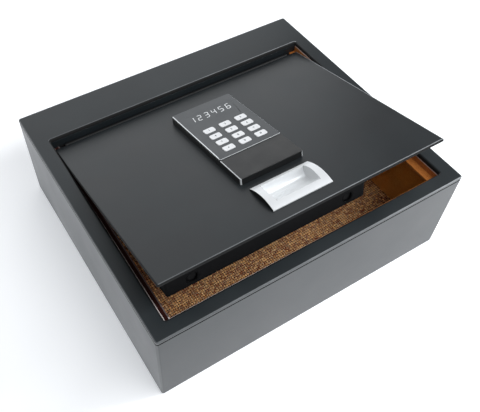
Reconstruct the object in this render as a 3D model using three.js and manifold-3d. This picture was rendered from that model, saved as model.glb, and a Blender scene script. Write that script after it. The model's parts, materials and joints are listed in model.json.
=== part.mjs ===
// Top-loading safe: a low steel casing with a recessed lid hinged along its back edge,
// a keypad and a scooped pull on the lid, and a rack-driven pair of bolts in a housing under it.
// Millimetres, +X to the right, +Y to the back, +Z up. The origin is the middle of the underside.
// The lid stands a little open, as it does after it unlocks. Its pieces are written where they
// lie with the lid shut, and one turned group swings them all up about the hinge pin.
import * as THREE from 'three';
import { mergeVertices } from 'three/addons/utils/BufferGeometryUtils.js';
import Module from 'manifold-3d';

const wasm = await Module();
wasm.setup();

// Gap between pieces that touch on the real safe
const seat = 0.3;

// Casing
const casingWidth = 400;
const casingDepth = 350;
const casingHeight = 126;
const casingSheet = 2;
const casingCorner = 3;
const floorEdgeRound = 1.5;
const anchorHole = 10;
const anchorInsetX = 60;
const anchorInsetY = 65;
const backAnchorInset = 90;
const backAnchorHeight = 60;

// Top frame: a plate with the lid's opening, and a rebate under it with a landing ledge
const framePlate = 5;
const frameEdgeRound = 1.2;
const openingEdgeRound = 2.5;
const seamRound = 0.6;
const sideRail = 19;
const frontRail = 17.5;
const backBand = 53.5;
const openingCorner = 2;
const rebateSheet = 2;
const sideLedge = 8.5;
const frontLedge = 6;
const backLip = 0.8;
const backWallDepth = 30;

// Soft linings
const feltThickness = 1.6;
const wallLining = 1.5;
const carpetThickness = 3.5;

// Lid
const lidOpenAngle = 12.3;
const lidRecess = 11;
const lidThickness = 2.8;
const lidSideGap = 1.2;
const lidFrontGap = 4.8;
const lidCorner = 2.1;
const lidEdgeRound = 1.9;

// Piano hinge
const knuckleRadius = 3;
const hingeSheet = 1.2;
const hingePinRadius = 1.5;
const hingeBoreClearance = 0.25;
const hingeLength = 330;
const knuckleCount = 11;
const knuckleGap = 0.4;
const lidLeafWidth = 17;
const frameLeafHeight = 16;
const hingeBackGap = 0.5;
const leafScrewInset = 45;

// Lock housing under the lid's front edge
const coverInset = 5;
const coverSideInset = 8.3;
const coverRight = 72;
const coverLength = 128;
const coverDepth = 25;
const coverSheet = 1.2;
const coverCorner = 3;
const postRadius = 3.5;
const postInset = 7;

// Bolts, their carriage and the drive
const boltRadius = 5.5;
const boltLeftInset = 29.5;
const boltRightInset = 24;
const boltBelowLid = 17.8;
const boltSetback = 2;
const boltTravel = 13;
const boltLength = 59;
const spigotRadius = 4;
const rivetRadius = 5;
const rivetHeight = 2;
const guideWall = 0.9;
const guideFlange = 1.4;
const guideLength = 9;
const carriageSheet = 2;
const carriageBelowLid = 5.7;
const carriageWidth = 26;
const carriageOverhang = 9;
const lugSheet = 2.5;
const lugHalfWidth = 8;
const notchHalfWidth = 34;
const notchDepth = 4;
const guidePinRadius = 2;
const guidePinLeftStep = 45;
const guidePinRightStep = 26;
const guidePinInset = 8.3;
const guidePinGrip = 1.8;
const gearModule = 1;
const pinionTeeth = 12;
const pinionAddendum = 0.9;
const pinionDedendum = 0.95;
const rackAddendum = 0.7;
const rackDedendum = 1.1;
const pressureAngle = THREE.MathUtils.degToRad(20);
const toothThinning = 0.25;
const meshClearance = 0.1;
const driveGap = 1.5;
const pinionWidth = 5;
const pinionBack = 11;
const rackBody = 2.7;
const rackWidth = 5.6;
const rackTeethAhead = 3;
const rackTeethBehind = 6;
const shaftRadius = 1.5;
const gearboxSize = [9, 12, 10];
const motorLength = 15;
const motorRadius = 5;
const bracketSheet = 1.4;
const bracketFoot = 12;

// Strike under the front ledge
const strikeSheet = 2;
const strikeFace = 2.5;
const strikeDrop = 20;
const strikeClearance = 0.8;
const strikeSetback = 1.1;
const strikeOverhang = 20;

// Batteries
const cellRadius = 7.1;
const cellLength = 49.5;
const cellPitch = 15.6;
const holderWall = 1.4;
const holderLeft = 16;
const holderBack = 5;
const doorInset = 4;
const doorGripLength = 20;
const doorGripWidth = 5;
const doorGripInset = 3;
const doorGripDepth = 0.5;

// Lock control board
const boardSheet = 1.6;
const boardWidth = 42;
const boardLength = 32;
const boardPad = 1.2;
const boardInsetX = 14;
const boardInsetY = 5;
const boardParts = [[4, 6, 12, 9, 5], [19, 8, 9, 9, 2.4], [31, 5, 8, 16, 7]];

// Keypad
const padWidth = 82;
const padPullGap = 11.6;
const padLength = 152.2;
const padHeight = 8.1;
const padWall = 2;
const padCorner = 2;
const padEdgeRound = 0.8;
const fasciaLength = 111.5;
const fasciaThickness = 1.6;
const fasciaStep = 0.8;
const fasciaInset = 0.4;
const fasciaRim = 4;
const keyCentreX = 1.2;
const keyWidth = 14.4;
const keyLength = 8.6;
const keyCorner = 2;
const keyProud = 0.8;
const keyGap = 0.3;
const keyFlange = 0.8;
const keyFlangeLip = 0.7;
const keyStem = 0.6;
const keyTravel = 0.9;
const keyPitchX = 21.7;
const keyPitchY = 14.1;
const topKeyRow = 55.3;
const windowBack = 23.7;
const windowWidth = 60;
const windowLength = 17;
const lensThickness = 1.2;
const matSheet = 1;
const matDome = 1.1;
const matDomeRadius = 3;
const cableSlotWidth = 26;
const cableSlotLength = 12;
const cableSlotGap = 4;

// Pull
const pullWidth = 76;
const pullFront = 17.1;
const pullLength = 42.8;
const pullEdge = 1.3;
const pullRise = 4.9;
const scoopHalfWidth = 28.6;
const scoopFlare = 0.8;
const scoopBackInset = 5.4;
const scoopFrontInset = 8.1;
const scoopDepth = 12.5;
const scoopWallLean = 1.8;
const scoopHeel = 6.2;
const scoopWall = 1.6;
const pullStudX = 35.2;
const pullStudRadius = 2;
const pullNutRadius = 3.6;
const pullNutHeight = 2.6;

// Screws
const screwHeadRadius = 3.1;
const screwHeadHeight = 1.7;
const screwShankRadius = 1.5;
const screwGrip = 1.9;

// Levels and places worked out from the sizes above
const frameUnderside = casingHeight - framePlate;
const openingX = casingWidth / 2 - sideRail;
const openingFront = -casingDepth / 2 + frontRail;
const openingBack = casingDepth / 2 - backBand;
const lidTop = casingHeight - lidRecess;
const lidUnderside = lidTop - lidThickness;
const lidFront = openingFront + lidFrontGap;
const feltTop = lidUnderside - seat;
const ledgeTop = feltTop - feltThickness - seat;
const ledgeUnderside = ledgeTop - rebateSheet;
const rebateX = openingX + feltThickness + seat;
const rebateFront = openingFront - feltThickness - seat;
const rebateBack = openingBack - backLip;
const ledgeX = openingX - sideLedge;
const ledgeFront = openingFront + frontLedge;
const leafBack = rebateBack - seat;
const hingeY = leafBack - knuckleRadius;
const hingeZ = lidTop - knuckleRadius;
const lidBack = hingeY - knuckleRadius - hingeBackGap;
const lidHalf = openingX - lidSideGap;
const coverLeft = lidHalf - coverSideInset;
const coverFront = lidFront + coverInset;
const coverBack = coverFront + coverLength;
const coverTop = lidUnderside - seat;
const coverBottom = lidUnderside - coverDepth;
const coverInside = coverBottom + coverSheet;
const boltLeftX = -coverLeft + boltLeftInset;
const boltRightX = coverRight - boltRightInset;
const guidePinX = [boltLeftX + guidePinLeftStep, boltRightX - guidePinRightStep];
const boltZ = lidTop - boltBelowLid;
const boltTip = coverFront + boltSetback;
const boltTail = boltTip + boltLength;
const carriageFront = boltTail + seat;
const carriageTop = lidTop - carriageBelowLid;
const carriageBottom = carriageTop - carriageSheet;
const pitchRadius = gearModule * pinionTeeth / 2;
const rackRoot = carriageBottom - rackBody;
const rackPitchLine = rackRoot - rackDedendum;
const pinionZ = rackPitchLine - pitchRadius - meshClearance;
const pinionY = carriageFront + pinionBack;
const holderWidth = 2 * cellLength + 3 * seat + 2 * holderWall;
const holderX = [-coverLeft + holderLeft, -coverLeft + holderLeft + holderWidth];
const pinionX = holderX[1] + driveGap + rackWidth / 2;
const bracketX = pinionX + pinionWidth / 2 + 0.8;
const gearboxX = bracketX + bracketSheet + seat;
const pullStart = lidFront + pullFront;
const pullEnd = pullStart + pullLength;
const padFront = pullEnd + padPullGap;
const padEnd = padFront + padLength;
const padBase = lidTop + seat;
const padTop = padBase + padHeight;
const fasciaTop = padTop + fasciaStep;
const fasciaUnderside = fasciaTop - fasciaThickness;
const fasciaFront = padEnd - fasciaLength;
const pullBase = lidTop + seat;
const pullMiddle = (pullStart + pullEnd) / 2;

// Finishes: colour, roughness and metalness of each material
const finishes = {
  blackPaint: ['#3c4043', 0.45, 0.35],
  feltBrown: ['#6b3a14', 0.95, 0],
  carpetCopper: ['#9a6233', 0.95, 0],
  plainSteel: ['#8d9093', 0.4, 0.85],
  blackSteel: ['#26282a', 0.45, 0.7],
  darkPlastic: ['#4a4d50', 0.5, 0],
  blackPlastic: ['#17181a', 0.55, 0],
  fasciaGrey: ['#505458', 0.35, 0],
  smokedLens: ['#3b3f44', 0.1, 0],
  whiteKey: ['#f1f2f3', 0.45, 0],
  chrome: ['#dfe1e4', 0.22, 1],
  silicone: ['#9da1a3', 0.8, 0],
  boardGreen: ['#1f5a3a', 0.6, 0],
  brass: ['#b08a3e', 0.35, 0.9],
  cellJacket: ['#3f4a52', 0.5, 0.2],
};

function solid(geometry) {
  const bare = geometry.clone();
  bare.deleteAttribute('normal');
  bare.deleteAttribute('uv');
  const merged = mergeVertices(bare, 1e-4);
  return new wasm.Manifold(new wasm.Mesh({
    numProp: 3,
    vertProperties: new Float32Array(merged.attributes.position.array),
    triVerts: new Uint32Array(merged.index.array),
  }));
}

function surface(body) {
  const mesh = body.getMesh();
  const geometry = new THREE.BufferGeometry();
  geometry.setAttribute('position', new THREE.BufferAttribute(mesh.vertProperties, 3));
  geometry.setIndex(new THREE.BufferAttribute(mesh.triVerts, 1));
  const faceted = geometry.toNonIndexed();
  faceted.computeVertexNormals();
  return faceted;
}

function block(x, y, z) {
  const geometry = new THREE.BoxGeometry(x[1] - x[0], y[1] - y[0], z[1] - z[0]);
  geometry.translate((x[0] + x[1]) / 2, (y[0] + y[1]) / 2, (z[0] + z[1]) / 2);
  return solid(geometry);
}

function rod(axis, radius, at, span, sides = 20) {
  const geometry = new THREE.CylinderGeometry(radius, radius, span[1] - span[0], sides);
  const middle = (span[0] + span[1]) / 2;
  if (axis === 'x') geometry.rotateZ(-Math.PI / 2).translate(middle, at[0], at[1]);
  if (axis === 'y') geometry.translate(at[0], middle, at[1]);
  if (axis === 'z') geometry.rotateX(Math.PI / 2).translate(at[0], at[1], middle);
  return solid(geometry);
}

function roundedRect(x, y, radius) {
  const shape = new THREE.Shape();
  shape.moveTo(x[0] + radius, y[0]);
  shape.lineTo(x[1] - radius, y[0]);
  shape.absarc(x[1] - radius, y[0] + radius, radius, -Math.PI / 2, 0);
  shape.lineTo(x[1], y[1] - radius);
  shape.absarc(x[1] - radius, y[1] - radius, radius, 0, Math.PI / 2);
  shape.lineTo(x[0] + radius, y[1]);
  shape.absarc(x[0] + radius, y[1] - radius, radius, Math.PI / 2, Math.PI);
  shape.lineTo(x[0], y[0] + radius);
  shape.absarc(x[0] + radius, y[0] + radius, radius, Math.PI, 1.5 * Math.PI);
  return shape;
}

// Upright slab with its outer size given, its top and bottom edges rounded by `round`
function slab(x, y, z, corner, round = 0, arcSteps = 3, roundSteps = 2) {
  const inner = Math.max(corner - round, 0.2);
  const shape = roundedRect([x[0] + round, x[1] - round], [y[0] + round, y[1] - round], inner);
  const geometry = new THREE.ExtrudeGeometry(shape, {
    depth: z[1] - z[0] - 2 * round,
    curveSegments: arcSteps,
    bevelEnabled: round > 0,
    bevelThickness: round,
    bevelSize: round,
    bevelSegments: roundSteps,
  });
  geometry.translate(0, 0, z[0] + round);
  return solid(geometry);
}

// Solid through a stack of rounded rectangles given as [inset, height], lowest first
function stack(x, y, corner, levels, arcSteps = 2) {
  const rings = levels.map(([inset, height]) => {
    const ringX = [x[0] + inset, x[1] - inset];
    const ringY = [y[0] + inset, y[1] - inset];
    const shape = roundedRect(ringX, ringY, Math.max(corner - inset, 0.2));
    return shape.getPoints(arcSteps).slice(0, -1).map((point) => [point.x, point.y, height]);
  });
  const count = rings[0].length;
  const index = [];
  for (let k = 1; k < count - 1; k += 1) {
    const top = (rings.length - 1) * count;
    index.push(0, k + 1, k, top, top + k, top + k + 1);
  }
  for (let level = 0; level < rings.length - 1; level += 1) {
    for (let k = 0; k < count; k += 1) {
      const a = level * count + k;
      const b = level * count + (k + 1) % count;
      index.push(a, b, b + count, a, b + count, a + count);
    }
  }
  const geometry = new THREE.BufferGeometry();
  geometry.setAttribute('position', new THREE.Float32BufferAttribute(rings.flat(2), 3));
  geometry.setIndex(index);
  return solid(geometry);
}

// Quarter-round as [inset, height] pairs that ends at `top`, drawn in by `radius` on the way up
function rolled(top, radius, steps = 3) {
  const levels = [];
  for (let i = 0; i <= steps; i += 1) {
    const angle = Math.PI / 2 * i / steps;
    levels.push([radius * (1 - Math.cos(angle)), top - radius * (1 - Math.sin(angle))]);
  }
  return levels;
}

function polygon(points) {
  return new THREE.Shape(points.map(([u, v]) => new THREE.Vector2(u, v)));
}

// Profile in the Y-Z plane, carried along X
function alongX(points, x) {
  const geometry = new THREE.ExtrudeGeometry(polygon(points), { depth: x[1] - x[0], bevelEnabled: false });
  const basis = new THREE.Matrix4().makeBasis(
    new THREE.Vector3(0, 1, 0), new THREE.Vector3(0, 0, 1), new THREE.Vector3(1, 0, 0));
  geometry.applyMatrix4(basis).translate(x[0], 0, 0);
  return solid(geometry);
}

// Profile in the X-Z plane, carried along Y
function alongY(points, y) {
  const geometry = new THREE.ExtrudeGeometry(polygon(points), { depth: y[1] - y[0], bevelEnabled: false });
  const basis = new THREE.Matrix4().makeBasis(
    new THREE.Vector3(1, 0, 0), new THREE.Vector3(0, 0, 1), new THREE.Vector3(0, -1, 0));
  geometry.applyMatrix4(basis).translate(0, y[1], 0);
  return solid(geometry);
}

// Profile of [radius, place] pairs, listed either way round, turned about an axis along X, Y or Z
function turned(axis, profile, at, sides = 20) {
  const points = profile.map(([radius, place]) => new THREE.Vector2(radius, place));
  if (THREE.ShapeUtils.area(points) < 0) points.reverse();
  const geometry = new THREE.LatheGeometry(points, sides);
  if (axis === 'x') geometry.rotateZ(-Math.PI / 2).translate(0, at[0], at[1]);
  if (axis === 'y') geometry.translate(at[0], 0, at[1]);
  if (axis === 'z') geometry.rotateX(Math.PI / 2).translate(at[0], at[1], 0);
  return solid(geometry);
}

const casing = new THREE.Group();
const lid = new THREE.Group();

function place(group, name, body, finish) {
  const [color, roughness, metalness] = finishes[finish];
  const material = new THREE.MeshStandardMaterial({ color, roughness, metalness });
  const mesh = new THREE.Mesh(surface(body), material);
  mesh.name = name;
  group.add(mesh);
}

function insideX(margin) {
  const half = casingWidth / 2 - casingSheet - margin;
  return [-half, half];
}

function insideY(margin) {
  const half = casingDepth / 2 - casingSheet - margin;
  return [-half, half];
}

function bodyShell() {
  const outerX = [-casingWidth / 2, casingWidth / 2];
  const outerY = [-casingDepth / 2, casingDepth / 2];
  const top = frameUnderside - seat;
  const foot = rolled(0, floorEdgeRound, 2).reverse().map(([inset, z]) => [inset, -z]);
  let shell = stack(outerX, outerY, casingCorner, [...foot, ...rolled(top, seamRound, 2)]);
  const hollow = slab(insideX(0), insideY(0), [casingSheet, casingHeight], casingCorner - casingSheet);
  shell = shell.subtract(hollow);
  const anchorX = casingWidth / 2 - anchorInsetX;
  const anchorY = casingDepth / 2 - anchorInsetY;
  for (const x of [-anchorX, anchorX]) {
    for (const y of [-anchorY, anchorY]) {
      shell = shell.subtract(rod('z', anchorHole / 2, [x, y], [-1, casingSheet + 1], 14));
    }
  }
  const backX = casingWidth / 2 - backAnchorInset;
  const backWall = [casingDepth / 2 - casingSheet - 1, casingDepth / 2 + 1];
  for (const x of [-backX, backX]) {
    shell = shell.subtract(rod('y', anchorHole / 2, [x, backAnchorHeight], backWall, 14));
  }
  return shell;
}

function topFrame() {
  const outerX = [-casingWidth / 2, casingWidth / 2];
  const outerY = [-casingDepth / 2, casingDepth / 2];
  const openX = [-openingX, openingX];
  const openY = [openingFront, openingBack];
  let frame = slab(outerX, outerY, [frameUnderside, casingHeight], casingCorner, frameEdgeRound);
  frame = frame.subtract(slab(openX, openY, [frameUnderside - 1, casingHeight + 1], openingCorner));
  const flare = rolled(casingHeight, openingEdgeRound, 4).map(([inset, z]) => [-inset, z]);
  flare.push([-openingEdgeRound, casingHeight + 1]);
  frame = frame.subtract(stack(openX, openY, openingCorner, flare));
  const join = frameUnderside + 0.5;
  const wallX = rebateX + rebateSheet;
  const wallFront = rebateFront - rebateSheet;
  const wallBack = rebateBack + rebateSheet;
  let rebate = block([-wallX, wallX], [wallFront, wallBack], [ledgeUnderside, join]);
  rebate = rebate.subtract(block([-rebateX, rebateX], [rebateFront, rebateBack], [ledgeTop, join + 1]));
  rebate = rebate.subtract(
    block([-ledgeX, ledgeX], [ledgeFront, rebateBack], [ledgeUnderside - 1, ledgeTop + 1]));
  const backWall = block([-wallX, wallX], [rebateBack, wallBack], [frameUnderside - backWallDepth, join]);
  frame = frame.add(rebate).add(backWall);
  for (const x of leafScrewPlaces()) {
    frame = frame.subtract(
      rod('y', screwShankRadius + seat, [x, frameLeafScrewZ()], [rebateBack - 1, wallBack + 1], 12));
  }
  return frame;
}

// Felt on the ledge and up the rebate wall, left, front and right
function ledgeFelt() {
  const outX = rebateX - seat;
  const outFront = rebateFront + seat;
  const back = rebateBack - seat;
  const bottom = ledgeTop + seat;
  const inX = outX - feltThickness;
  const inFront = outFront + feltThickness;
  let felt = block([-outX, outX], [outFront, back], [bottom, frameUnderside - seat]);
  felt = felt.subtract(block([-inX, inX], [inFront, back + 1], [feltTop, casingHeight]));
  return felt.subtract(
    block([-ledgeX, ledgeX], [ledgeFront, back + 1], [bottom - 1, casingHeight]));
}

function strikePlate() {
  const half = [boltLeftX - strikeOverhang, boltRightX + strikeOverhang];
  const front = insideY(seat)[0];
  const back = ledgeFront - strikeSetback;
  const top = ledgeUnderside - seat;
  let strike = block(half, [front, back], [top - strikeSheet, top]);
  strike = strike.add(block(half, [back - strikeFace, back], [top - strikeDrop, top]));
  const reach = [back - strikeFace - 1, back + 1];
  const hole = boltRadius + strikeClearance;
  for (const x of [boltLeftX, boltRightX]) strike = strike.subtract(rod('y', hole, [x, boltZ], reach, 24));
  return strike;
}

function leafScrewPlaces() {
  const x = hingeLength / 2 - leafScrewInset;
  return [-x, x];
}

function frameLeafScrewZ() {
  return hingeZ - frameLeafHeight + 2 * screwHeadRadius;
}

function lidLeafScrewY() {
  return hingeY - lidLeafWidth + 2 * screwHeadRadius;
}

// Spans of the hinge knuckles: even ones belong to the frame's leaf, odd ones to the lid's
function knuckleSpans(parity) {
  const step = hingeLength / knuckleCount;
  const spans = [];
  for (let i = parity; i < knuckleCount; i += 2) {
    const start = -hingeLength / 2 + i * step;
    spans.push([start + knuckleGap / 2, start + step - knuckleGap / 2]);
  }
  return spans;
}

function hingeLeaf(leaf, own, other) {
  const axis = [hingeY, hingeZ];
  let body = leaf;
  for (const [a, b] of knuckleSpans(other)) {
    const room = [a - knuckleGap, b + knuckleGap];
    body = body.subtract(rod('x', knuckleRadius + knuckleGap, axis, room, 16));
  }
  for (const span of knuckleSpans(own)) body = body.add(rod('x', knuckleRadius, axis, span, 16));
  const bore = hingePinRadius + hingeBoreClearance;
  return body.subtract(rod('x', bore, axis, [-hingeLength, hingeLength], 10));
}

function frameLeaf() {
  const z = [hingeZ - frameLeafHeight, hingeZ];
  let leaf = block([-hingeLength / 2, hingeLength / 2], [leafBack - hingeSheet, leafBack], z);
  for (const x of leafScrewPlaces()) {
    const hole = [leafBack - hingeSheet - 1, leafBack + 1];
    leaf = leaf.subtract(rod('y', screwShankRadius + seat, [x, frameLeafScrewZ()], hole, 12));
  }
  return hingeLeaf(leaf, 0, 1);
}

function lidLeaf() {
  const z = [lidUnderside - seat - hingeSheet, lidUnderside - seat];
  let leaf = block([-hingeLength / 2, hingeLength / 2], [hingeY - lidLeafWidth, hingeY], z);
  for (const x of leafScrewPlaces()) {
    const hole = [z[0] - 1, z[1] + 1];
    leaf = leaf.subtract(rod('z', screwShankRadius + seat, [x, lidLeafScrewY()], hole, 12));
  }
  return hingeLeaf(leaf, 1, 0);
}

// Pan-head screw whose head rests on `face`; `way` is +1 or -1, where the shank points
function screw(axis, at, face, way, grip) {
  const head = way * screwHeadHeight;
  const crown = way * 0.5;
  const profile = [
    [0, face - head],
    [screwHeadRadius * 0.7, face - head],
    [screwHeadRadius, face - head + crown],
    [screwHeadRadius, face - way * seat],
    [screwShankRadius, face - way * seat],
    [screwShankRadius, face + way * grip],
    [0, face + way * grip],
  ];
  return turned(axis, profile, at, 12);
}

function addLinings() {
  const floorTop = casingSheet + seat + carpetThickness;
  const wallTop = ledgeUnderside - strikeSheet - 2 * seat;
  const z = [floorTop + seat, wallTop];
  const x = insideX(seat);
  const y = insideY(seat);
  place(casing, 'floor_carpet', block(x, y, [casingSheet + seat, floorTop]), 'carpetCopper');
  place(casing, 'wall_lining_left', block([x[0], x[0] + wallLining], y, z), 'feltBrown');
  place(casing, 'wall_lining_right', block([x[1] - wallLining, x[1]], y, z), 'feltBrown');
  const between = [x[0] + wallLining + seat, x[1] - wallLining - seat];
  place(casing, 'wall_lining_front', block(between, [y[0], y[0] + wallLining], z), 'feltBrown');
  place(casing, 'wall_lining_back', block(between, [y[1] - wallLining, y[1]], z), 'feltBrown');
}

function addCasing() {
  place(casing, 'body_shell', bodyShell(), 'blackPaint');
  place(casing, 'top_frame', topFrame(), 'blackPaint');
  place(casing, 'ledge_felt', ledgeFelt(), 'feltBrown');
  addLinings();
  place(casing, 'strike_plate', strikePlate(), 'blackSteel');
  place(casing, 'hinge_frame_leaf', frameLeaf(), 'blackSteel');
  const pin = rod('x', hingePinRadius, [hingeY, hingeZ], [-hingeLength / 2, hingeLength / 2], 10);
  place(casing, 'hinge_pin', pin, 'plainSteel');
  leafScrewPlaces().forEach((x, i) => {
    const body = screw('y', [x, frameLeafScrewZ()], leafBack - hingeSheet, 1, hingeSheet + screwGrip);
    place(casing, `frame_leaf_screw_${i + 1}`, body, 'blackSteel');
  });
}

function postPlaces() {
  const places = [];
  for (const x of [-coverLeft + postInset, coverRight - postInset]) {
    for (const y of [coverFront + postInset, coverBack - postInset]) places.push([x, y]);
  }
  return places;
}

function lidPlate() {
  const across = [-lidHalf, lidHalf];
  const along = [lidFront, lidBack];
  let plate = stack(across, along, lidCorner, [[0, lidUnderside], ...rolled(lidTop, lidEdgeRound, 3)]);
  const cutX = scoopHalfWidth + scoopFlare + scoopWall + seat;
  plate = plate.subtract(
    slab([-cutX, cutX], [pullStart + 2, pullEnd - 2], [lidUnderside - 1, lidTop + 1], 0.6));
  for (const side of [-1, 1]) {
    const hole = [lidUnderside - 1, lidTop + 1];
    plate = plate.subtract(rod('z', pullStudRadius + seat, [side * pullStudX, pullMiddle], hole, 16));
  }
  const slotY = fasciaFront - cableSlotLength - cableSlotGap;
  plate = plate.subtract(slab([-cableSlotWidth / 2, cableSlotWidth / 2],
    [slotY, slotY + cableSlotLength], [lidUnderside - 1, lidTop + 1], 3));
  for (const at of postPlaces()) {
    plate = plate.subtract(
      rod('z', screwShankRadius + seat, at, [lidUnderside - 1, lidUnderside + screwGrip], 8));
  }
  for (const pinX of guidePinX) {
    plate = plate.subtract(rod('z', guidePinRadius + seat - 0.5, [pinX, guidePinY()],
      [lidUnderside - 1, lidUnderside + guidePinGrip + 0.3], 12));
  }
  for (const leafX of leafScrewPlaces()) {
    plate = plate.subtract(rod('z', screwShankRadius + seat, [leafX, lidLeafScrewY()],
      [lidUnderside - 1, lidUnderside + screwGrip], 12));
  }
  return plate;
}

function holderSpan() {
  const back = coverBack - holderBack;
  const front = back - cellPitch - 2 * cellRadius - 2 * seat - 2 * holderWall;
  return { x: holderX, y: [front, back] };
}

function doorSpan(margin) {
  const holder = holderSpan();
  const inset = doorInset + margin;
  return {
    x: [holder.x[0] + inset, holder.x[1] - inset],
    y: [holder.y[0] + inset, holder.y[1] - inset],
  };
}

function lockCover() {
  const x = [-coverLeft, coverRight];
  const y = [coverFront, coverBack];
  let cover = slab(x, y, [coverBottom, coverTop + coverCorner], coverCorner, coverSheet);
  cover = cover.subtract(block([-coverLeft - 1, coverRight + 1], [coverFront - 1, coverBack + 1],
    [coverTop, lidTop]));
  cover = cover.subtract(slab([x[0] + coverSheet, x[1] - coverSheet],
    [y[0] + coverSheet, y[1] - coverSheet], [coverInside, lidTop], coverCorner - coverSheet));
  const guideHole = boltRadius + seat + guideWall + seat;
  for (const boltX of [boltLeftX, boltRightX]) {
    cover = cover.subtract(rod('y', guideHole, [boltX, boltZ],
      [coverFront - 1, coverFront + coverSheet + 1], 24));
  }
  for (const at of postPlaces()) {
    cover = cover.add(rod('z', postRadius, at, [coverInside - 0.5, lidUnderside - seat], 12));
    cover = cover.subtract(
      rod('z', screwShankRadius + seat, at, [coverBottom - 1, lidUnderside], 8));
  }
  const door = doorSpan(0);
  return cover.subtract(slab(door.x, door.y, [coverBottom - 1, coverInside + 1], 2));
}

function boltGuide(x) {
  const inner = boltRadius + seat;
  const outer = inner + guideWall;
  const face = coverFront;
  const flangeAt = coverFront + coverSheet + seat;
  return turned('y', [
    [inner, face],
    [inner, face + guideLength],
    [outer, face + guideLength],
    [outer, flangeAt + guideFlange],
    [outer + 0.7, flangeAt + guideFlange],
    [outer + 0.7, flangeAt],
    [outer, flangeAt],
    [outer, face],
    [inner, face],
  ], [x, boltZ], 20);
}

function bolt(x) {
  const lugBack = carriageFront + lugSheet;
  return turned('y', [
    [0, boltTip],
    [boltRadius - 1, boltTip],
    [boltRadius, boltTip + 1],
    [boltRadius, boltTail],
    [spigotRadius, boltTail],
    [spigotRadius, lugBack + seat],
    [rivetRadius, lugBack + seat],
    [rivetRadius, lugBack + seat + rivetHeight],
    [0, lugBack + seat + rivetHeight],
  ], [x, boltZ], 20);
}

function guidePinY() {
  return carriageFront + guidePinInset;
}

// Saw-toothed underside of the rack, walked from front to back
function rackProfile() {
  const pitch = Math.PI * gearModule;
  const tip = rackPitchLine - rackAddendum;
  const halfAt = (z) => pitch / 4 - toothThinning / 2 + (z - rackPitchLine) * Math.tan(pressureAngle);
  const first = pinionY - rackTeethAhead * pitch;
  const last = pinionY + rackTeethBehind * pitch;
  const points = [[first - pitch / 2, carriageBottom + 1], [first - pitch / 2, rackRoot]];
  for (let k = -rackTeethAhead; k <= rackTeethBehind; k += 1) {
    const centre = pinionY + k * pitch;
    points.push([centre - halfAt(rackRoot), rackRoot]);
    points.push([centre - halfAt(tip), tip]);
    points.push([centre + halfAt(tip), tip]);
    points.push([centre + halfAt(rackRoot), rackRoot]);
  }
  points.push([last + pitch / 2, rackRoot], [last + pitch / 2, carriageBottom + 1]);
  return points;
}

function boltCarriage() {
  const x = [boltLeftX - carriageOverhang, boltRightX + carriageOverhang];
  const back = carriageFront + carriageWidth;
  let carriage = block(x, [carriageFront, back], [carriageBottom, carriageTop]);
  carriage = carriage.subtract(block([-notchHalfWidth, notchHalfWidth],
    [carriageFront - 1, carriageFront + notchDepth], [carriageBottom - 1, carriageTop + 1]));
  for (const boltX of [boltLeftX, boltRightX]) {
    const lug = block([boltX - lugHalfWidth, boltX + lugHalfWidth],
      [carriageFront, carriageFront + lugSheet], [coverInside + 1, carriageTop]);
    const hole = rod('y', spigotRadius + seat, [boltX, boltZ],
      [carriageFront - 1, carriageFront + lugSheet + 1], 20);
    carriage = carriage.add(lug).subtract(hole);
  }
  const rackX = [pinionX - rackWidth / 2, pinionX + rackWidth / 2];
  carriage = carriage.add(alongX(rackProfile(), rackX));
  for (const pinX of guidePinX) {
    const r = guidePinRadius + seat;
    const y = [guidePinY() - r, guidePinY() + boltTravel + r];
    carriage = carriage.subtract(
      slab([pinX - r, pinX + r], y, [carriageBottom - 1, carriageTop + 1], r - 0.01));
  }
  return carriage;
}

function guidePin(x) {
  const below = carriageBottom - seat;
  return turned('z', [
    [0, below - 1.5],
    [guidePinRadius + 1.6, below - 1.5],
    [guidePinRadius + 1.6, below],
    [guidePinRadius, below],
    [guidePinRadius, lidUnderside - seat],
    [guidePinRadius - 0.5, lidUnderside - seat],
    [guidePinRadius - 0.5, lidUnderside + guidePinGrip],
    [0, lidUnderside + guidePinGrip],
  ], [x, guidePinY()], 14);
}

// Involute gear outline with a tooth gap facing up
function pinionOutline() {
  const base = pitchRadius * Math.cos(pressureAngle);
  const tip = pitchRadius + pinionAddendum;
  const root = pitchRadius - pinionDedendum;
  const involute = (radius) => {
    const angle = Math.acos(Math.min(1, base / radius));
    return Math.tan(angle) - angle;
  };
  const halfPitch = Math.PI / (2 * pinionTeeth) - toothThinning / (2 * pitchRadius);
  const halfAt = (radius) => halfPitch + involute(pitchRadius) - involute(Math.max(radius, base));
  const radii = [root, base, pitchRadius, tip];
  const points = [];
  const step = 2 * Math.PI / pinionTeeth;
  for (let tooth = 0; tooth < pinionTeeth; tooth += 1) {
    const centre = Math.PI / 2 + (tooth + 0.5) * step;
    for (const radius of radii) points.push([radius, centre - halfAt(radius)]);
    for (const radius of [...radii].reverse()) points.push([radius, centre + halfAt(radius)]);
  }
  return points.map(([radius, angle]) => [
    pinionY + radius * Math.cos(angle), pinionZ + radius * Math.sin(angle)]);
}

function drivePinion() {
  const x = [pinionX - pinionWidth / 2, pinionX + pinionWidth / 2];
  const gear = alongX(pinionOutline(), x);
  const shaft = rod('x', shaftRadius, [pinionY, pinionZ], [x[0] - 1, gearboxX + gearboxSize[0] / 2], 14);
  return gear.add(shaft);
}

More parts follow.
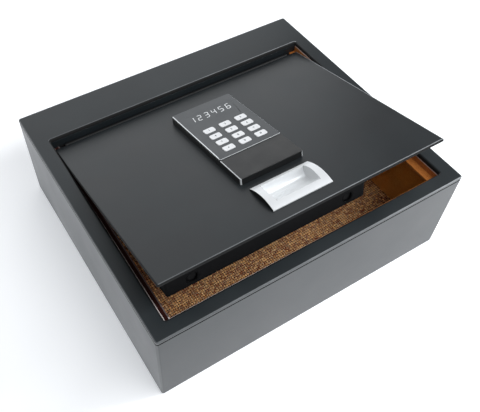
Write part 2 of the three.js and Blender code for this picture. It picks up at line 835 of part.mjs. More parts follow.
function gearMotor() {
  const [length, depth, height] = gearboxSize;
  const x = [gearboxX, gearboxX + length];
  const at = [pinionY, pinionZ];
  let motor = block(x, [pinionY - depth / 2, pinionY + depth / 2],
    [pinionZ - height / 2, pinionZ + height / 2]);
  motor = motor.add(rod('x', motorRadius, at, [x[1] - 1, x[1] + motorLength], 20));
  motor = motor.add(rod('x', 2, at, [x[1] + motorLength - 1, x[1] + motorLength + 1.5], 14));
  return motor.subtract(
    rod('x', shaftRadius + seat, at, [x[0] - 1, x[0] + length / 2 + seat], 14));
}

// Plate across the end of the gearbox, stepped down to let the carriage pass over it
function motorBracket() {
  const [, depth, height] = gearboxSize;
  const front = pinionY - depth / 2;
  const low = pinionZ - height / 2;
  const under = rackPitchLine - rackAddendum - 0.8;
  const back = carriageFront + carriageWidth + 2;
  const x = [bracketX, bracketX + bracketSheet];
  let bracket = alongX([
    [front, low],
    [back + bracketFoot, low],
    [back + bracketFoot, lidUnderside - seat],
    [back, lidUnderside - seat],
    [back, under],
    [front, under],
  ], x);
  bracket = bracket.add(block([x[0], x[0] + bracketFoot], [back, back + bracketFoot],
    [lidUnderside - seat - bracketSheet, lidUnderside - seat]));
  return bracket.subtract(
    rod('x', shaftRadius + seat, [pinionY, pinionZ], [x[0] - 1, x[1] + 1], 14));
}

function cellPlaces() {
  const holder = holderSpan();
  const startX = holder.x[0] + holderWall + seat;
  const startY = holder.y[0] + holderWall + seat + cellRadius;
  const places = [];
  for (const row of [0, 1]) {
    for (const column of [0, 1]) {
      places.push([startX + column * (cellLength + seat), startY + row * cellPitch, row]);
    }
  }
  return places;
}

function cellAxisZ() {
  return coverInside + 2 * seat + cellRadius;
}

function cell(x, y, row) {
  const flip = row === 1;
  const nub = 1.5;
  const body = [
    [0, x],
    [cellRadius - 0.6, x],
    [cellRadius, x + 0.6],
    [cellRadius, x + cellLength - nub - 0.6],
    [cellRadius - 0.6, x + cellLength - nub],
    [2.5, x + cellLength - nub],
    [2.5, x + cellLength],
    [0, x + cellLength],
  ];
  const mirrored = body.map(([radius, place]) => [radius, 2 * x + cellLength - place]);
  return turned('x', flip ? mirrored : body, [y, cellAxisZ()], 16);
}

function batteryHolder() {
  const { x, y } = holderSpan();
  const pocketTop = cellAxisZ() + cellRadius + seat;
  const holder = block(x, y, [coverInside + seat, lidUnderside - seat]);
  const pocket = block([x[0] + holderWall, x[1] - holderWall], [y[0] + holderWall, y[1] - holderWall],
    [coverInside - 1, pocketTop]);
  const clear = block([x[0] + holderWall, x[1] - holderWall], [y[0] - 1, y[1] + 1],
    [pocketTop + holderWall, lidUnderside - 2]);
  return holder.subtract(pocket).subtract(clear);
}

function batteryDoor() {
  const { x, y } = doorSpan(seat);
  const door = slab(x, y, [coverBottom, coverInside - 0.3], 1.7);
  const middle = (x[0] + x[1]) / 2;
  const gripX = [middle - doorGripLength / 2, middle + doorGripLength / 2];
  const gripY = [y[0] + doorGripInset, y[0] + doorGripInset + doorGripWidth];
  return door.subtract(slab(gripX, gripY, [coverBottom - 1, coverBottom + doorGripDepth], 2));
}

function boardSpan() {
  return {
    x: [coverRight - boardInsetX - boardWidth, coverRight - boardInsetX],
    y: [coverBack - boardInsetY - boardLength, coverBack - boardInsetY],
  };
}

// Foam pad that keeps the board off the steel
function boardFoam() {
  const { x, y } = boardSpan();
  const top = lidUnderside - seat;
  return block([x[0] + 2, x[1] - 2], [y[0] + 2, y[1] - 2], [top - boardPad, top]);
}

function lockBoard() {
  const { x, y } = boardSpan();
  const top = lidUnderside - boardPad - 2 * seat;
  let board = block(x, y, [top - boardSheet, top]);
  for (const [dx, dy, w, l, h] of boardParts) {
    board = board.add(block([x[0] + dx, x[0] + dx + w], [y[0] + dy, y[0] + dy + l],
      [top - boardSheet - h, top - 0.5]));
  }
  return board;
}

function keypadHousing() {
  const x = [-padWidth / 2, padWidth / 2];
  const y = [padFront, padEnd];
  let housing = slab(x, y, [padBase - padCorner, padTop], padCorner, padEdgeRound);
  const lower = block([x[0] - 1, x[1] + 1], [y[0] - 1, y[1] + 1], [lidUnderside, padBase]);
  const step = block([x[0] - 1, x[1] + 1], [fasciaFront - seat, y[1] + 1],
    [fasciaUnderside - seat, fasciaTop + 1]);
  const hollow = slab([x[0] + padWall, x[1] - padWall], [y[0] + padWall, y[1] - padWall],
    [lidUnderside, padTop - padWall], 1);
  const shelf = slab([x[0] + fasciaRim, x[1] - fasciaRim],
    [fasciaFront + fasciaRim, y[1] - fasciaRim], [padBase, fasciaTop], 1.5);
  const underShelf = block([x[0] + padWall, x[1] - padWall], [fasciaFront, y[1] - padWall],
    [lidUnderside, fasciaUnderside - seat - 1.2]);
  housing = housing.subtract(lower).subtract(step).subtract(shelf);
  return housing.subtract(hollow.intersect(
    block(x, [y[0], fasciaFront], [lidUnderside, padTop]).add(underShelf)));
}

function keyPlaces() {
  const names = ['1', '2', '3', '4', '5', '6', '7', '8', '9', 'star', '0', 'hash'];
  return names.map((name, i) => ({
    name: `key_${name}`,
    x: keyCentreX + (i % 3 - 1) * keyPitchX,
    y: padEnd - topKeyRow - Math.floor(i / 3) * keyPitchY,
  }));
}

function keySpan(key, margin) {
  return [
    [key.x - keyWidth / 2 - margin, key.x + keyWidth / 2 + margin],
    [key.y - keyLength / 2 - margin, key.y + keyLength / 2 + margin],
  ];
}

function windowSpan(margin) {
  const y = padEnd - windowBack;
  return [
    [keyCentreX - windowWidth / 2 - margin, keyCentreX + windowWidth / 2 + margin],
    [y - windowLength / 2 - margin, y + windowLength / 2 + margin],
  ];
}

function keypadFascia() {
  const x = [-padWidth / 2 + fasciaInset, padWidth / 2 - fasciaInset];
  const y = [fasciaFront + fasciaInset, padEnd - fasciaInset];
  let fascia = slab(x, y, [fasciaUnderside, fasciaTop], padCorner, 0.4, 3, 1);
  for (const key of keyPlaces()) {
    const [keyX, keyY] = keySpan(key, keyGap);
    fascia = fascia.subtract(
      slab(keyX, keyY, [fasciaUnderside - 1, fasciaTop + 1], keyCorner + keyGap, 0, 2));
  }
  const [windowX, windowY] = windowSpan(seat);
  return fascia.subtract(slab(windowX, windowY, [fasciaUnderside - 1, fasciaTop + 1], 1));
}

function keyCap(key) {
  const [x, y] = keySpan(key, 0);
  const [lipX, lipY] = keySpan(key, keyFlangeLip + keyGap);
  const flangeTop = fasciaUnderside - seat;
  const flangeBottom = flangeTop - keyFlange;
  const cap = slab(x, y, [flangeBottom, fasciaTop + keyProud], keyCorner, 0.4, 2, 1);
  const flange = slab(lipX, lipY, [flangeBottom, flangeTop], keyCorner, 0, 1);
  const stem = rod('z', matDomeRadius - 0.5, [key.x, key.y], [flangeBottom - keyStem, flangeTop], 8);
  return cap.add(flange).add(stem);
}

function keyFootZ() {
  return fasciaUnderside - seat - keyFlange - keyStem;
}

function matTopZ() {
  return keyFootZ() - keyTravel - 0.1;
}

function keyMat() {
  const [, windowY] = windowSpan(0);
  const top = matTopZ() - matDome;
  const x = [-padWidth / 2 + fasciaRim, padWidth / 2 - fasciaRim];
  let mat = block(x, [fasciaFront + fasciaRim, windowY[0] - 3], [top - matSheet, top]);
  for (const key of keyPlaces()) {
    mat = mat.add(rod('z', matDomeRadius, [key.x, key.y], [top - matSheet / 2, matTopZ()], 8));
  }
  return mat;
}

function keypadBoard() {
  const top = matTopZ() - matDome - matSheet - seat;
  const half = padWidth / 2 - padWall - seat;
  const y = [fasciaFront + padWall, padEnd - padWall - seat];
  let board = block([-half, half], y, [padBase, top]);
  const [windowX, windowY] = windowSpan(-1);
  board = board.add(block(windowX, windowY, [top - 0.5, fasciaTop - lensThickness - seat]));
  return board;
}

function displayLens() {
  const [x, y] = windowSpan(0);
  return slab(x, y, [fasciaTop - lensThickness, fasciaTop - 0.1], 0.8);
}

// Height of the pull's arched top at a place along Y
function pullTopZ(y) {
  const share = (y - pullMiddle) / (pullLength / 2);
  return pullBase + pullEdge + pullRise * (1 - share * share);
}

// Trough of the scoop, from its lip at the back to its run-out at the front
function scoopCurve(drop) {
  const back = pullEnd - scoopBackInset;
  const front = pullStart + scoopFrontInset;
  const floor = lidTop - scoopDepth - drop;
  const curve = new THREE.CubicBezierCurve(
    new THREE.Vector2(back + drop * 0.8, pullTopZ(back)),
    new THREE.Vector2(back - scoopWallLean + drop * 0.8, floor + scoopWallLean),
    new THREE.Vector2(pullMiddle + scoopHeel, floor),
    new THREE.Vector2(front - drop * 0.4, pullTopZ(front) - drop));
  return curve.getPoints(12).map((point) => [point.x, point.y]);
}

function pull() {
  const archSteps = 12;
  const arch = [];
  for (let i = 0; i <= archSteps; i += 1) {
    const y = pullEnd - pullLength * i / archSteps;
    arch.push([y, pullTopZ(y)]);
  }
  const half = pullWidth / 2;
  const outline = [[pullStart, pullBase], [pullEnd, pullBase], ...arch];
  let body = alongX(outline, [-half, half]);
  const high = pullBase + pullEdge + 4 * pullRise;
  const cupHalf = scoopHalfWidth + scoopFlare + scoopWall;
  const cup = scoopCurve(scoopWall);
  const cupTop = pullBase + 0.5;
  const cupSolid = alongX([...cup.reverse(), [cup[cup.length - 1][0], high]], [-cupHalf, cupHalf]);
  const plateRoom = block([-cupHalf, cupHalf],
    [pullStart + 2 + seat, pullEnd - 2 - seat], [0, cupTop]);
  body = body.add(cupSolid.intersect(plateRoom));
  const trough = scoopCurve(0);
  const last = trough[trough.length - 1];
  const cutProfile = [[last[0] - 3, high], ...trough.reverse(), [pullEnd - scoopBackInset, high]];
  cutProfile.splice(1, 0, [last[0] - 3, last[1] - 0.2]);
  const flare = alongY([
    [-scoopHalfWidth, lidTop - scoopDepth],
    [scoopHalfWidth, lidTop - scoopDepth],
    [scoopHalfWidth + scoopFlare, pullBase + pullEdge],
    [scoopHalfWidth + scoopFlare, high],
    [-scoopHalfWidth - scoopFlare, high],
    [-scoopHalfWidth - scoopFlare, pullBase + pullEdge],
  ], [pullStart - 5, pullEnd + 5]);
  body = body.subtract(alongX(cutProfile, [-half, half]).intersect(flare));
  for (const side of [-1, 1]) {
    const span = [lidUnderside - pullNutHeight - 1.5, pullBase + 1];
    body = body.add(rod('z', pullStudRadius, [side * pullStudX, pullMiddle], span, 14));
  }
  return body;
}

function pullNut(side) {
  const top = lidUnderside - seat;
  const at = [side * pullStudX, pullMiddle];
  const hex = rod('z', pullNutRadius, at, [top - pullNutHeight, top], 6);
  return hex.subtract(rod('z', pullStudRadius + seat, at, [0, lidTop], 14));
}

function addLidShell() {
  place(lid, 'lid_plate', lidPlate(), 'blackPaint');
  place(lid, 'hinge_lid_leaf', lidLeaf(), 'blackSteel');
  leafScrewPlaces().forEach((x, i) => {
    const face = lidUnderside - seat - hingeSheet;
    const body = screw('z', [x, lidLeafScrewY()], face, 1, hingeSheet + screwGrip);
    place(lid, `lid_leaf_screw_${i + 1}`, body, 'blackSteel');
  });
  place(lid, 'lock_cover', lockCover(), 'blackPaint');
  postPlaces().forEach((at, i) => {
    const grip = coverDepth + screwGrip - seat;
    place(lid, `cover_screw_${i + 1}`, screw('z', at, coverBottom, 1, grip), 'blackSteel');
  });
}

function addLock() {
  place(lid, 'bolt_guide_left', boltGuide(boltLeftX), 'blackPlastic');
  place(lid, 'bolt_guide_right', boltGuide(boltRightX), 'blackPlastic');
  place(lid, 'bolt_left', bolt(boltLeftX), 'blackSteel');
  place(lid, 'bolt_right', bolt(boltRightX), 'blackSteel');
  place(lid, 'bolt_carriage', boltCarriage(), 'plainSteel');
  guidePinX.forEach((x, i) => place(lid, `carriage_pin_${i + 1}`, guidePin(x), 'plainSteel'));
  place(lid, 'drive_pinion', drivePinion(), 'brass');
  place(lid, 'gear_motor', gearMotor(), 'plainSteel');
  place(lid, 'motor_bracket', motorBracket(), 'plainSteel');
  place(lid, 'battery_holder', batteryHolder(), 'blackPlastic');
  cellPlaces().forEach(([x, y, row], i) => {
    place(lid, `battery_${i + 1}`, cell(x, y, row), 'cellJacket');
  });
  place(lid, 'battery_door', batteryDoor(), 'blackPlastic');
  place(lid, 'lock_board', lockBoard(), 'boardGreen');
  place(lid, 'board_pad', boardFoam(), 'blackPlastic');
}

function addKeypad() {
  place(lid, 'keypad_housing', keypadHousing(), 'darkPlastic');
  place(lid, 'keypad_fascia', keypadFascia(), 'fasciaGrey');
  place(lid, 'display_lens', displayLens(), 'smokedLens');
  place(lid, 'keypad_board', keypadBoard(), 'boardGreen');
  place(lid, 'key_mat', keyMat(), 'silicone');
  for (const key of keyPlaces()) place(lid, key.name, keyCap(key), 'whiteKey');
}

function addPull() {
  place(lid, 'pull_handle', pull(), 'chrome');
  place(lid, 'handle_nut_left', pullNut(-1), 'plainSteel');
  place(lid, 'handle_nut_right', pullNut(1), 'plainSteel');
}

addCasing();
addLidShell();
addLock();
addKeypad();
addPull();

lid.position.set(0, -hingeY, -hingeZ);
const lidSwing = new THREE.Group();
lidSwing.position.set(0, hingeY, hingeZ);
lidSwing.rotation.x = -THREE.MathUtils.degToRad(lidOpenAngle);
lidSwing.add(lid);

const safe = new THREE.Group();
safe.add(casing, lidSwing);

export default safe;
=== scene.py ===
import json
import math

import bmesh
import bpy
import numpy as np
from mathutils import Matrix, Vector

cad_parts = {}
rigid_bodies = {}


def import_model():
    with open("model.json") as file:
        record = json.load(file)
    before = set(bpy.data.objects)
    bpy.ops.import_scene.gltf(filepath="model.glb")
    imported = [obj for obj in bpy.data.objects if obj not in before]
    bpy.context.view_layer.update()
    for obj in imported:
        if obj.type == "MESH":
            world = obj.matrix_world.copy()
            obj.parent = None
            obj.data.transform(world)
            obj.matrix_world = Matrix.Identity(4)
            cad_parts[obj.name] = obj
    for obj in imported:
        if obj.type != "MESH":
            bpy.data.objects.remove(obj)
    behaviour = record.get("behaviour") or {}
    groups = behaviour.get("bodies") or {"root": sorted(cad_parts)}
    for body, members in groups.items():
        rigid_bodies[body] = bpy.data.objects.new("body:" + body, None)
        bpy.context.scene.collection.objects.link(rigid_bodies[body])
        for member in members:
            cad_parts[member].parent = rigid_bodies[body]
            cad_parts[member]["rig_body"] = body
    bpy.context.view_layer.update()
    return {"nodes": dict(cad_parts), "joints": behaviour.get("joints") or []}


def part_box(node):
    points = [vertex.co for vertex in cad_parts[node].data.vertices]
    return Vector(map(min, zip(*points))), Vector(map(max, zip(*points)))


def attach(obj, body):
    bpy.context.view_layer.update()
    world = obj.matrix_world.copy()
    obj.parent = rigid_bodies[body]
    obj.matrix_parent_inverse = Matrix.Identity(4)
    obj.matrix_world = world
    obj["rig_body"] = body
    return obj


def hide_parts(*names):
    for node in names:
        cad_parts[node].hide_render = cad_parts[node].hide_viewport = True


# Looks of the top-loading safe. Sizes are in millimetres and made metres when a mesh is built.
# The lid's pieces are written with the lid shut, then swung up to where it rests.

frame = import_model()
nodes = frame["nodes"]

lidJoint = next(joint for joint in frame["joints"] if joint["name"] == "lid_hinge")
hingeAt = np.array(lidJoint["pos_m"]) * 1000
lidAngle = math.radians(-lidJoint["range_deg"][0])


def swung(points, angle=lidAngle):
    # turn about the hinge line: y and z, counted from the hinge, rotate by the angle
    p = np.asarray(points, float) - hingeAt
    c, s = math.cos(angle), math.sin(angle)
    turned = np.stack([p[:, 0], c * p[:, 1] + s * p[:, 2], c * p[:, 2] - s * p[:, 1]], -1)
    return turned + hingeAt


def restBox(nodeName):
    # lowest and highest corner of a node as it rests, in millimetres
    return [np.array(corner) * 1000 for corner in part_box(nodeName)]


def triples(items, label):
    # a vector of every item, as rows of three
    values = np.empty(len(items) * 3, np.float32)
    items.foreach_get(label, values)
    return values.reshape(-1, 3)


def shutBox(nodeName):
    # lowest and highest corner of a lid node, in millimetres, with the lid shut
    flat = swung(triples(nodes[nodeName].data.vertices, "co") * 1000.0, -lidAngle)
    return flat.min(0), flat.max(0)


# shader nodes and groups

def linear(code):
    # hex colour to linear light: the low end is a straight line, the rest a power of 2.4
    c = np.array([int(code[i:i + 2], 16) for i in (1, 3, 5)]) / 255
    c = np.where(c <= 0.04045, c / 12.92, ((c + 0.055) / 1.055) ** 2.4)
    return (*c.tolist(), 1)


def setInputs(node, values):
    # values and sockets go to the node's inputs by name or number
    for key, value in values.items():
        if isinstance(value, bpy.types.NodeSocket):
            node.id_data.links.new(value, node.inputs[key])
        else:
            node.inputs[key].default_value = value
    return node


def add(tree, kind, inputs=None, **settings):
    # one node: settings are its own switches
    made = tree.nodes.new("ShaderNode" + kind)
    for key, value in settings.items():
        setattr(made, key, value)
    return setInputs(made, inputs or {})


def maths(tree, operation, *values):
    return add(tree, "Math", dict(enumerate(values)), operation=operation).outputs[0]


def times(tree, first, second):
    return maths(tree, "MULTIPLY", first, second)


def vector(tree, operation, first, second):
    # second is a vector or, where the first is scaled, the factor
    label = "Scale" if operation == "SCALE" else 1
    return add(tree, "VectorMath", {0: first, label: second}, operation=operation).outputs[0]


def noise(tree, place, scale, detail):
    return add(tree, "TexNoise", {"Vector": place, "Scale": scale, "Detail": detail}).outputs[0]


def objectPlace(tree):
    return add(tree, "TexCoord").outputs["Object"]


def blendColour(tree, factor, *colours):
    # from the first colour to the second; each is a socket or a hex code
    first, second = (linear(colour) if isinstance(colour, str) else colour for colour in colours)
    return add(tree, "Mix", {0: factor, 6: first, 7: second}, data_type="RGBA").outputs[2]


def spread(tree, value, low, high, fromLow=0, fromHigh=1):
    # the range fromLow to fromHigh is stretched to the range low to high, and held at its ends
    return add(tree, "MapRange", {0: value, 1: fromLow, 2: fromHigh, 3: low, 4: high}).outputs[0]


def newGroup(name, inputs, outputs):
    group = bpy.data.node_groups.new(name, "ShaderNodeTree")
    for label, value in inputs.items():
        group.interface.new_socket(label, in_out="INPUT", socket_type="NodeSocketFloat").default_value = value
    for label in outputs:
        group.interface.new_socket(label, in_out="OUTPUT", socket_type="NodeSocketFloat")
    given = group.nodes.new("NodeGroupInput").outputs
    return group, given, group.nodes.new("NodeGroupOutput")


def perMetre(tree, millimetres):
    return maths(tree, "DIVIDE", 1000, millimetres)


def makePowderGrain():
    # two noises on object coordinates: a fine grain for the bump, and slow patches for the sheen
    group, given, result = newGroup("powderGrain", {"Grain": 0.8, "Patch": 70}, ["Height", "Patch"])
    place = objectPlace(group)
    slow = noise(group, place, perMetre(group, given["Patch"]), 3)
    setInputs(result, {"Height": noise(group, place, perMetre(group, given["Grain"]), 2),
                       "Patch": spread(group, slow, 0, 1, 0.3, 0.7)})


def makeDrawnLines():
    # noise squeezed hard along one axis gives the fine lines of drawn or brushed metal
    group, given, result = newGroup("drawnLines", {"Pitch": 0.25, "Length": 18}, ["Height", "Tone"])
    place = objectPlace(group)
    along, across = perMetre(group, given["Length"]), perMetre(group, given["Pitch"])
    squeeze = add(group, "CombineXYZ", {"X": along, "Y": across, "Z": across}).outputs[0]
    setInputs(result, {"Height": noise(group, vector(group, "MULTIPLY", place, squeeze), 1, 3),
                       "Tone": noise(group, place, 25, 2)})


def makeWovenMat():
    # plain weave: sines across both ways make strands, and every other cell shows the other set on top
    group, given, result = newGroup("wovenMat", {"Pitch": 5, "Wander": 0.35}, ["Height", "Gap", "Strand"])
    place = objectPlace(group)
    sway = add(group, "TexNoise", {"Vector": place, "Scale": 90, "Detail": 2}).outputs["Color"]
    swayed = vector(group, "SUBTRACT", sway, (0.5, 0.5, 0.5))
    reach = times(group, maths(group, "DIVIDE", given["Pitch"], 1000), given["Wander"])
    spot = vector(group, "ADD", place, vector(group, "SCALE", swayed, reach))
    cell = vector(group, "SCALE", spot, perMetre(group, given["Pitch"]))
    parts = add(group, "SeparateXYZ", {0: cell}).outputs
    sineX, sineY = (maths(group, "ABSOLUTE", maths(group, "SINE", times(group, parts[axis], math.pi)))
                    for axis in "XY")
    steps = maths(group, "ADD", *(maths(group, "FLOOR", parts[axis]) for axis in "XY"))
    # each set's sines are raised to a low power one way and to twice that the other
    warp, weft = (times(group, maths(group, "POWER", sineX, first), maths(group, "POWER", sineY, second))
                  for first, second in ((0.45, 0.9), (0.9, 0.45)))
    turn = maths(group, "PINGPONG", steps, 1)
    woven = add(group, "Mix", {0: turn, 2: warp, 3: weft}, data_type="FLOAT").outputs[0]
    whole = add(group, "VectorMath", {0: cell}, operation="FLOOR").outputs[0]
    strand = add(group, "TexWhiteNoise", {"Vector": whole}, noise_dimensions="3D").outputs["Value"]
    setInputs(result, {"Height": woven, "Gap": spread(group, woven, 1, 0, 0.08, 0.4), "Strand": strand})


def makeFeltFibre():
    # tangled fibre: two stretched noises laid across each other, plus a slow cloud
    group, given, result = newGroup("feltFibre", {"Fibre": 0.5}, ["Height", "Cloud"])
    place = objectPlace(group)
    scale = perMetre(group, given["Fibre"])
    layers = [noise(group, vector(group, "MULTIPLY", place, stretch), scale, 3)
              for stretch in ((1, 0.18, 0.6), (0.2, 1, 0.6))]
    setInputs(result, {"Height": maths(group, "MAXIMUM", *layers), "Cloud": noise(group, place, 30, 4)})


def makeSettledDust():
    # dust lies where the surface looks up, in soft drifts
    group, given, result = newGroup("settledDust", {"Amount": 0.1, "Drift": 40}, ["Mask"])
    up = add(group, "SeparateXYZ", {0: add(group, "NewGeometry").outputs["Normal"]}).outputs["Z"]
    drift = noise(group, objectPlace(group), perMetre(group, given["Drift"]), 5)
    lying = times(group, spread(group, up, 0, 1, 0.4, 0.95), spread(group, drift, 0, 1, 0.4, 0.75))
    setInputs(result, {"Mask": times(group, lying, given["Amount"])})


for makeGroup in (makePowderGrain, makeDrawnLines, makeWovenMat, makeFeltFibre, makeSettledDust):
    makeGroup()
print("shader groups: %d" % len(bpy.data.node_groups))


# materials

def newMaterial(name):
    material = bpy.data.materials.new(name)
    material.use_nodes = True
    return material.node_tree, material.node_tree.nodes["Principled BSDF"]


def useGroup(tree, groupName, **inputs):
    used = add(tree, "Group", node_tree=bpy.data.node_groups[groupName])
    return setInputs(used, {label.capitalize(): value for label, value in inputs.items()}).outputs


def bumped(tree, height, strength, depth):
    return add(tree, "Bump", {"Strength": strength, "Distance": depth / 1000, "Height": height}).outputs[0]


def faceMark(tree):
    # each face's own mark: above nothing it is painted pale, a painted highlight (on paint also worn edges),
    # below nothing it is painted shade
    return add(tree, "Attribute", attribute_name="edgeMark").outputs["Fac"]


def placeX(tree):
    return add(tree, "SeparateXYZ", {0: objectPlace(tree)}).outputs["X"]


# dust is real; the pale edge tones are painted highlight, on paint partly worn edges too; the shade tones are
# painted shade
wearAndLightTones = {"dust": "#b9b6b0", "rubbed": "#c4c8cb", "shade": "#030304", "metalShade": "#050506",
             "paintedHighlight": "#e4e8ea", "feltShade": "#080505", "feltPaintedLight": "#ecdfdc"}
wearHighlightLook = {"grain": 2, "drift": 30, "least": 0.6, "leftShare": 0.35, "leftEnd": -0.15, "rightEnd": 0.2}


def edgeWearAndHighlight(tree, amount):
    # share of pale edge, worn paint and painted highlight: the edge mark broken up by a slow noise, more of
    # it to the right as painted highlight
    slow = useGroup(tree, "powderGrain", grain=wearHighlightLook["grain"], patch=wearHighlightLook["drift"])["Patch"]
    side = spread(tree, placeX(tree), wearHighlightLook["leftShare"], 1, wearHighlightLook["leftEnd"], wearHighlightLook["rightEnd"])
    worn = times(tree, side, spread(tree, slow, amount * wearHighlightLook["least"], amount))
    return times(tree, maths(tree, "MAXIMUM", faceMark(tree), 0), worn)


def edgeShade(tree):
    # share of painted shade: where the edge mark is below nothing
    return maths(tree, "MAXIMUM", times(tree, faceMark(tree), -1), 0)


def paintedSteel(name, look):
    # powder-coated steel: charcoal with slow changes of tone and sheen, a fine grain, a trace of dust; pale
    # marked edges are worn paint and painted highlight, dark marked faces painted shade
    tree, shader = newMaterial(name)
    grain = useGroup(tree, "powderGrain", grain=look["grain"], patch=look["patch"])
    dust = useGroup(tree, "settledDust", amount=look["dust"], drift=45)["Mask"]
    shade = edgeShade(tree)
    tone = blendColour(tree, grain["Patch"], *look["tones"])
    tone = blendColour(tree, dust, tone, wearAndLightTones["dust"])
    # pale edges: worn paint and painted highlight; then painted shade on faces marked below nothing
    tone = blendColour(tree, edgeWearAndHighlight(tree, look["rub"]), tone, wearAndLightTones["rubbed"])
    tone = blendColour(tree, shade, tone, wearAndLightTones["shade"])
    rough = maths(tree, "ADD", spread(tree, grain["Patch"], *look["sheen"]), times(tree, dust, 0.6))
    rough = maths(tree, "MAXIMUM", rough, times(tree, shade, 0.85))
    setInputs(shader, {"Base Color": tone, "Roughness": rough, "Specular IOR Level": look["specular"],
                       "Normal": bumped(tree, grain["Height"], look["bump"], 0.05)})


def drawnMetal(name, look):
    # bare or plated metal with fine drawn lines in its roughness and bump, painted shade where it is marked
    tree, shader = newMaterial(name)
    lines = useGroup(tree, "drawnLines", pitch=look["pitch"], length=look["length"])
    tone = blendColour(tree, lines["Tone"], *look["tones"])
    tone = blendColour(tree, edgeShade(tree), tone, wearAndLightTones["metalShade"])
    setInputs(shader, {"Base Color": tone, "Roughness": spread(tree, lines["Height"], *look["sheen"]),
                       "Metallic": look["metal"], "Specular IOR Level": look.get("specular", 0.5),
                       "Normal": bumped(tree, lines["Height"], look["bump"], 0.02)})


def mouldedPlastic(name, look):
    # moulded plastic: fine spark-eroded grain and faint cloudiness, painted pale where it is marked, a
    # painted highlight
    tree, shader = newMaterial(name)
    grain = useGroup(tree, "powderGrain", grain=look["grain"], patch=35)
    dust = useGroup(tree, "settledDust", amount=look.get("dust", 0.03), drift=25)["Mask"]
    tone = blendColour(tree, grain["Patch"], *look["tones"])
    tone = blendColour(tree, dust, tone, wearAndLightTones["dust"])
    if "rub" in look:
        tone = blendColour(tree, times(tree, faceMark(tree), look["rub"]), tone, wearAndLightTones["paintedHighlight"])
    rough = spread(tree, grain["Height"], *look["sheen"], 0.3, 0.7)
    setInputs(shader, {"Base Color": tone, "Roughness": rough,
                       "Specular IOR Level": look.get("specular", 0.5),
                       "Normal": bumped(tree, grain["Height"], look["bump"], 0.03)})


def softFelt(name, look):
    # tangled fibre, painted pale where marked above nothing (painted highlight) and dark where marked below
    # nothing (painted shade), with painted shade deepening towards the left where one is given
    tree, shader = newMaterial(name)
    fibre = useGroup(tree, "feltFibre", fibre=look["fibre"])
    tone = blendColour(tree, spread(tree, fibre["Height"], 0, 1, 0.4, 0.75), *look["tones"])
    tone = blendColour(tree, spread(tree, fibre["Cloud"], 0, 0.35, 0.4, 0.7), tone, look["tones"][0])
    # the ledge is darker towards the left: painted shade
    if "left" in look:
        tone = blendColour(tree, spread(tree, placeX(tree), 1, 0, -0.16, 0.06), tone, look["left"])
    tone = blendColour(tree, edgeShade(tree), tone, wearAndLightTones["feltShade"])
    tone = blendColour(tree, maths(tree, "MAXIMUM", faceMark(tree), 0), tone, wearAndLightTones["feltPaintedLight"])
    setInputs(shader, {"Base Color": tone, "Roughness": 0.95, "Specular IOR Level": 0.15,
                       "Sheen Weight": look["sheen"], "Sheen Roughness": 0.4,
                       "Normal": bumped(tree, fibre["Height"], 0.6, 0.3)})


def copperWeave(name, look):
    # woven mat: copper strands with a painted glint on the fibre tops, over gaps darkened as painted shade;
    # each cell a little lighter or darker
    tree, shader = newMaterial(name)
    weave = useGroup(tree, "wovenMat", pitch=look["pitch"], wander=look["wander"])
    fibre = useGroup(tree, "feltFibre", fibre=0.6)["Height"]
    tone = blendColour(tree, weave["Strand"], *look["strand"])
    tone = blendColour(tree, spread(tree, fibre, 0, 0.8, 0.5, 0.72), tone, look["glint"])
    tone = blendColour(tree, weave["Gap"], tone, look["gap"])
    setInputs(shader, {"Base Color": tone, "Roughness": look["rough"], "Specular IOR Level": 0.15,
                       "Normal": bumped(tree, weave["Height"], 0.8, look["depth"])})


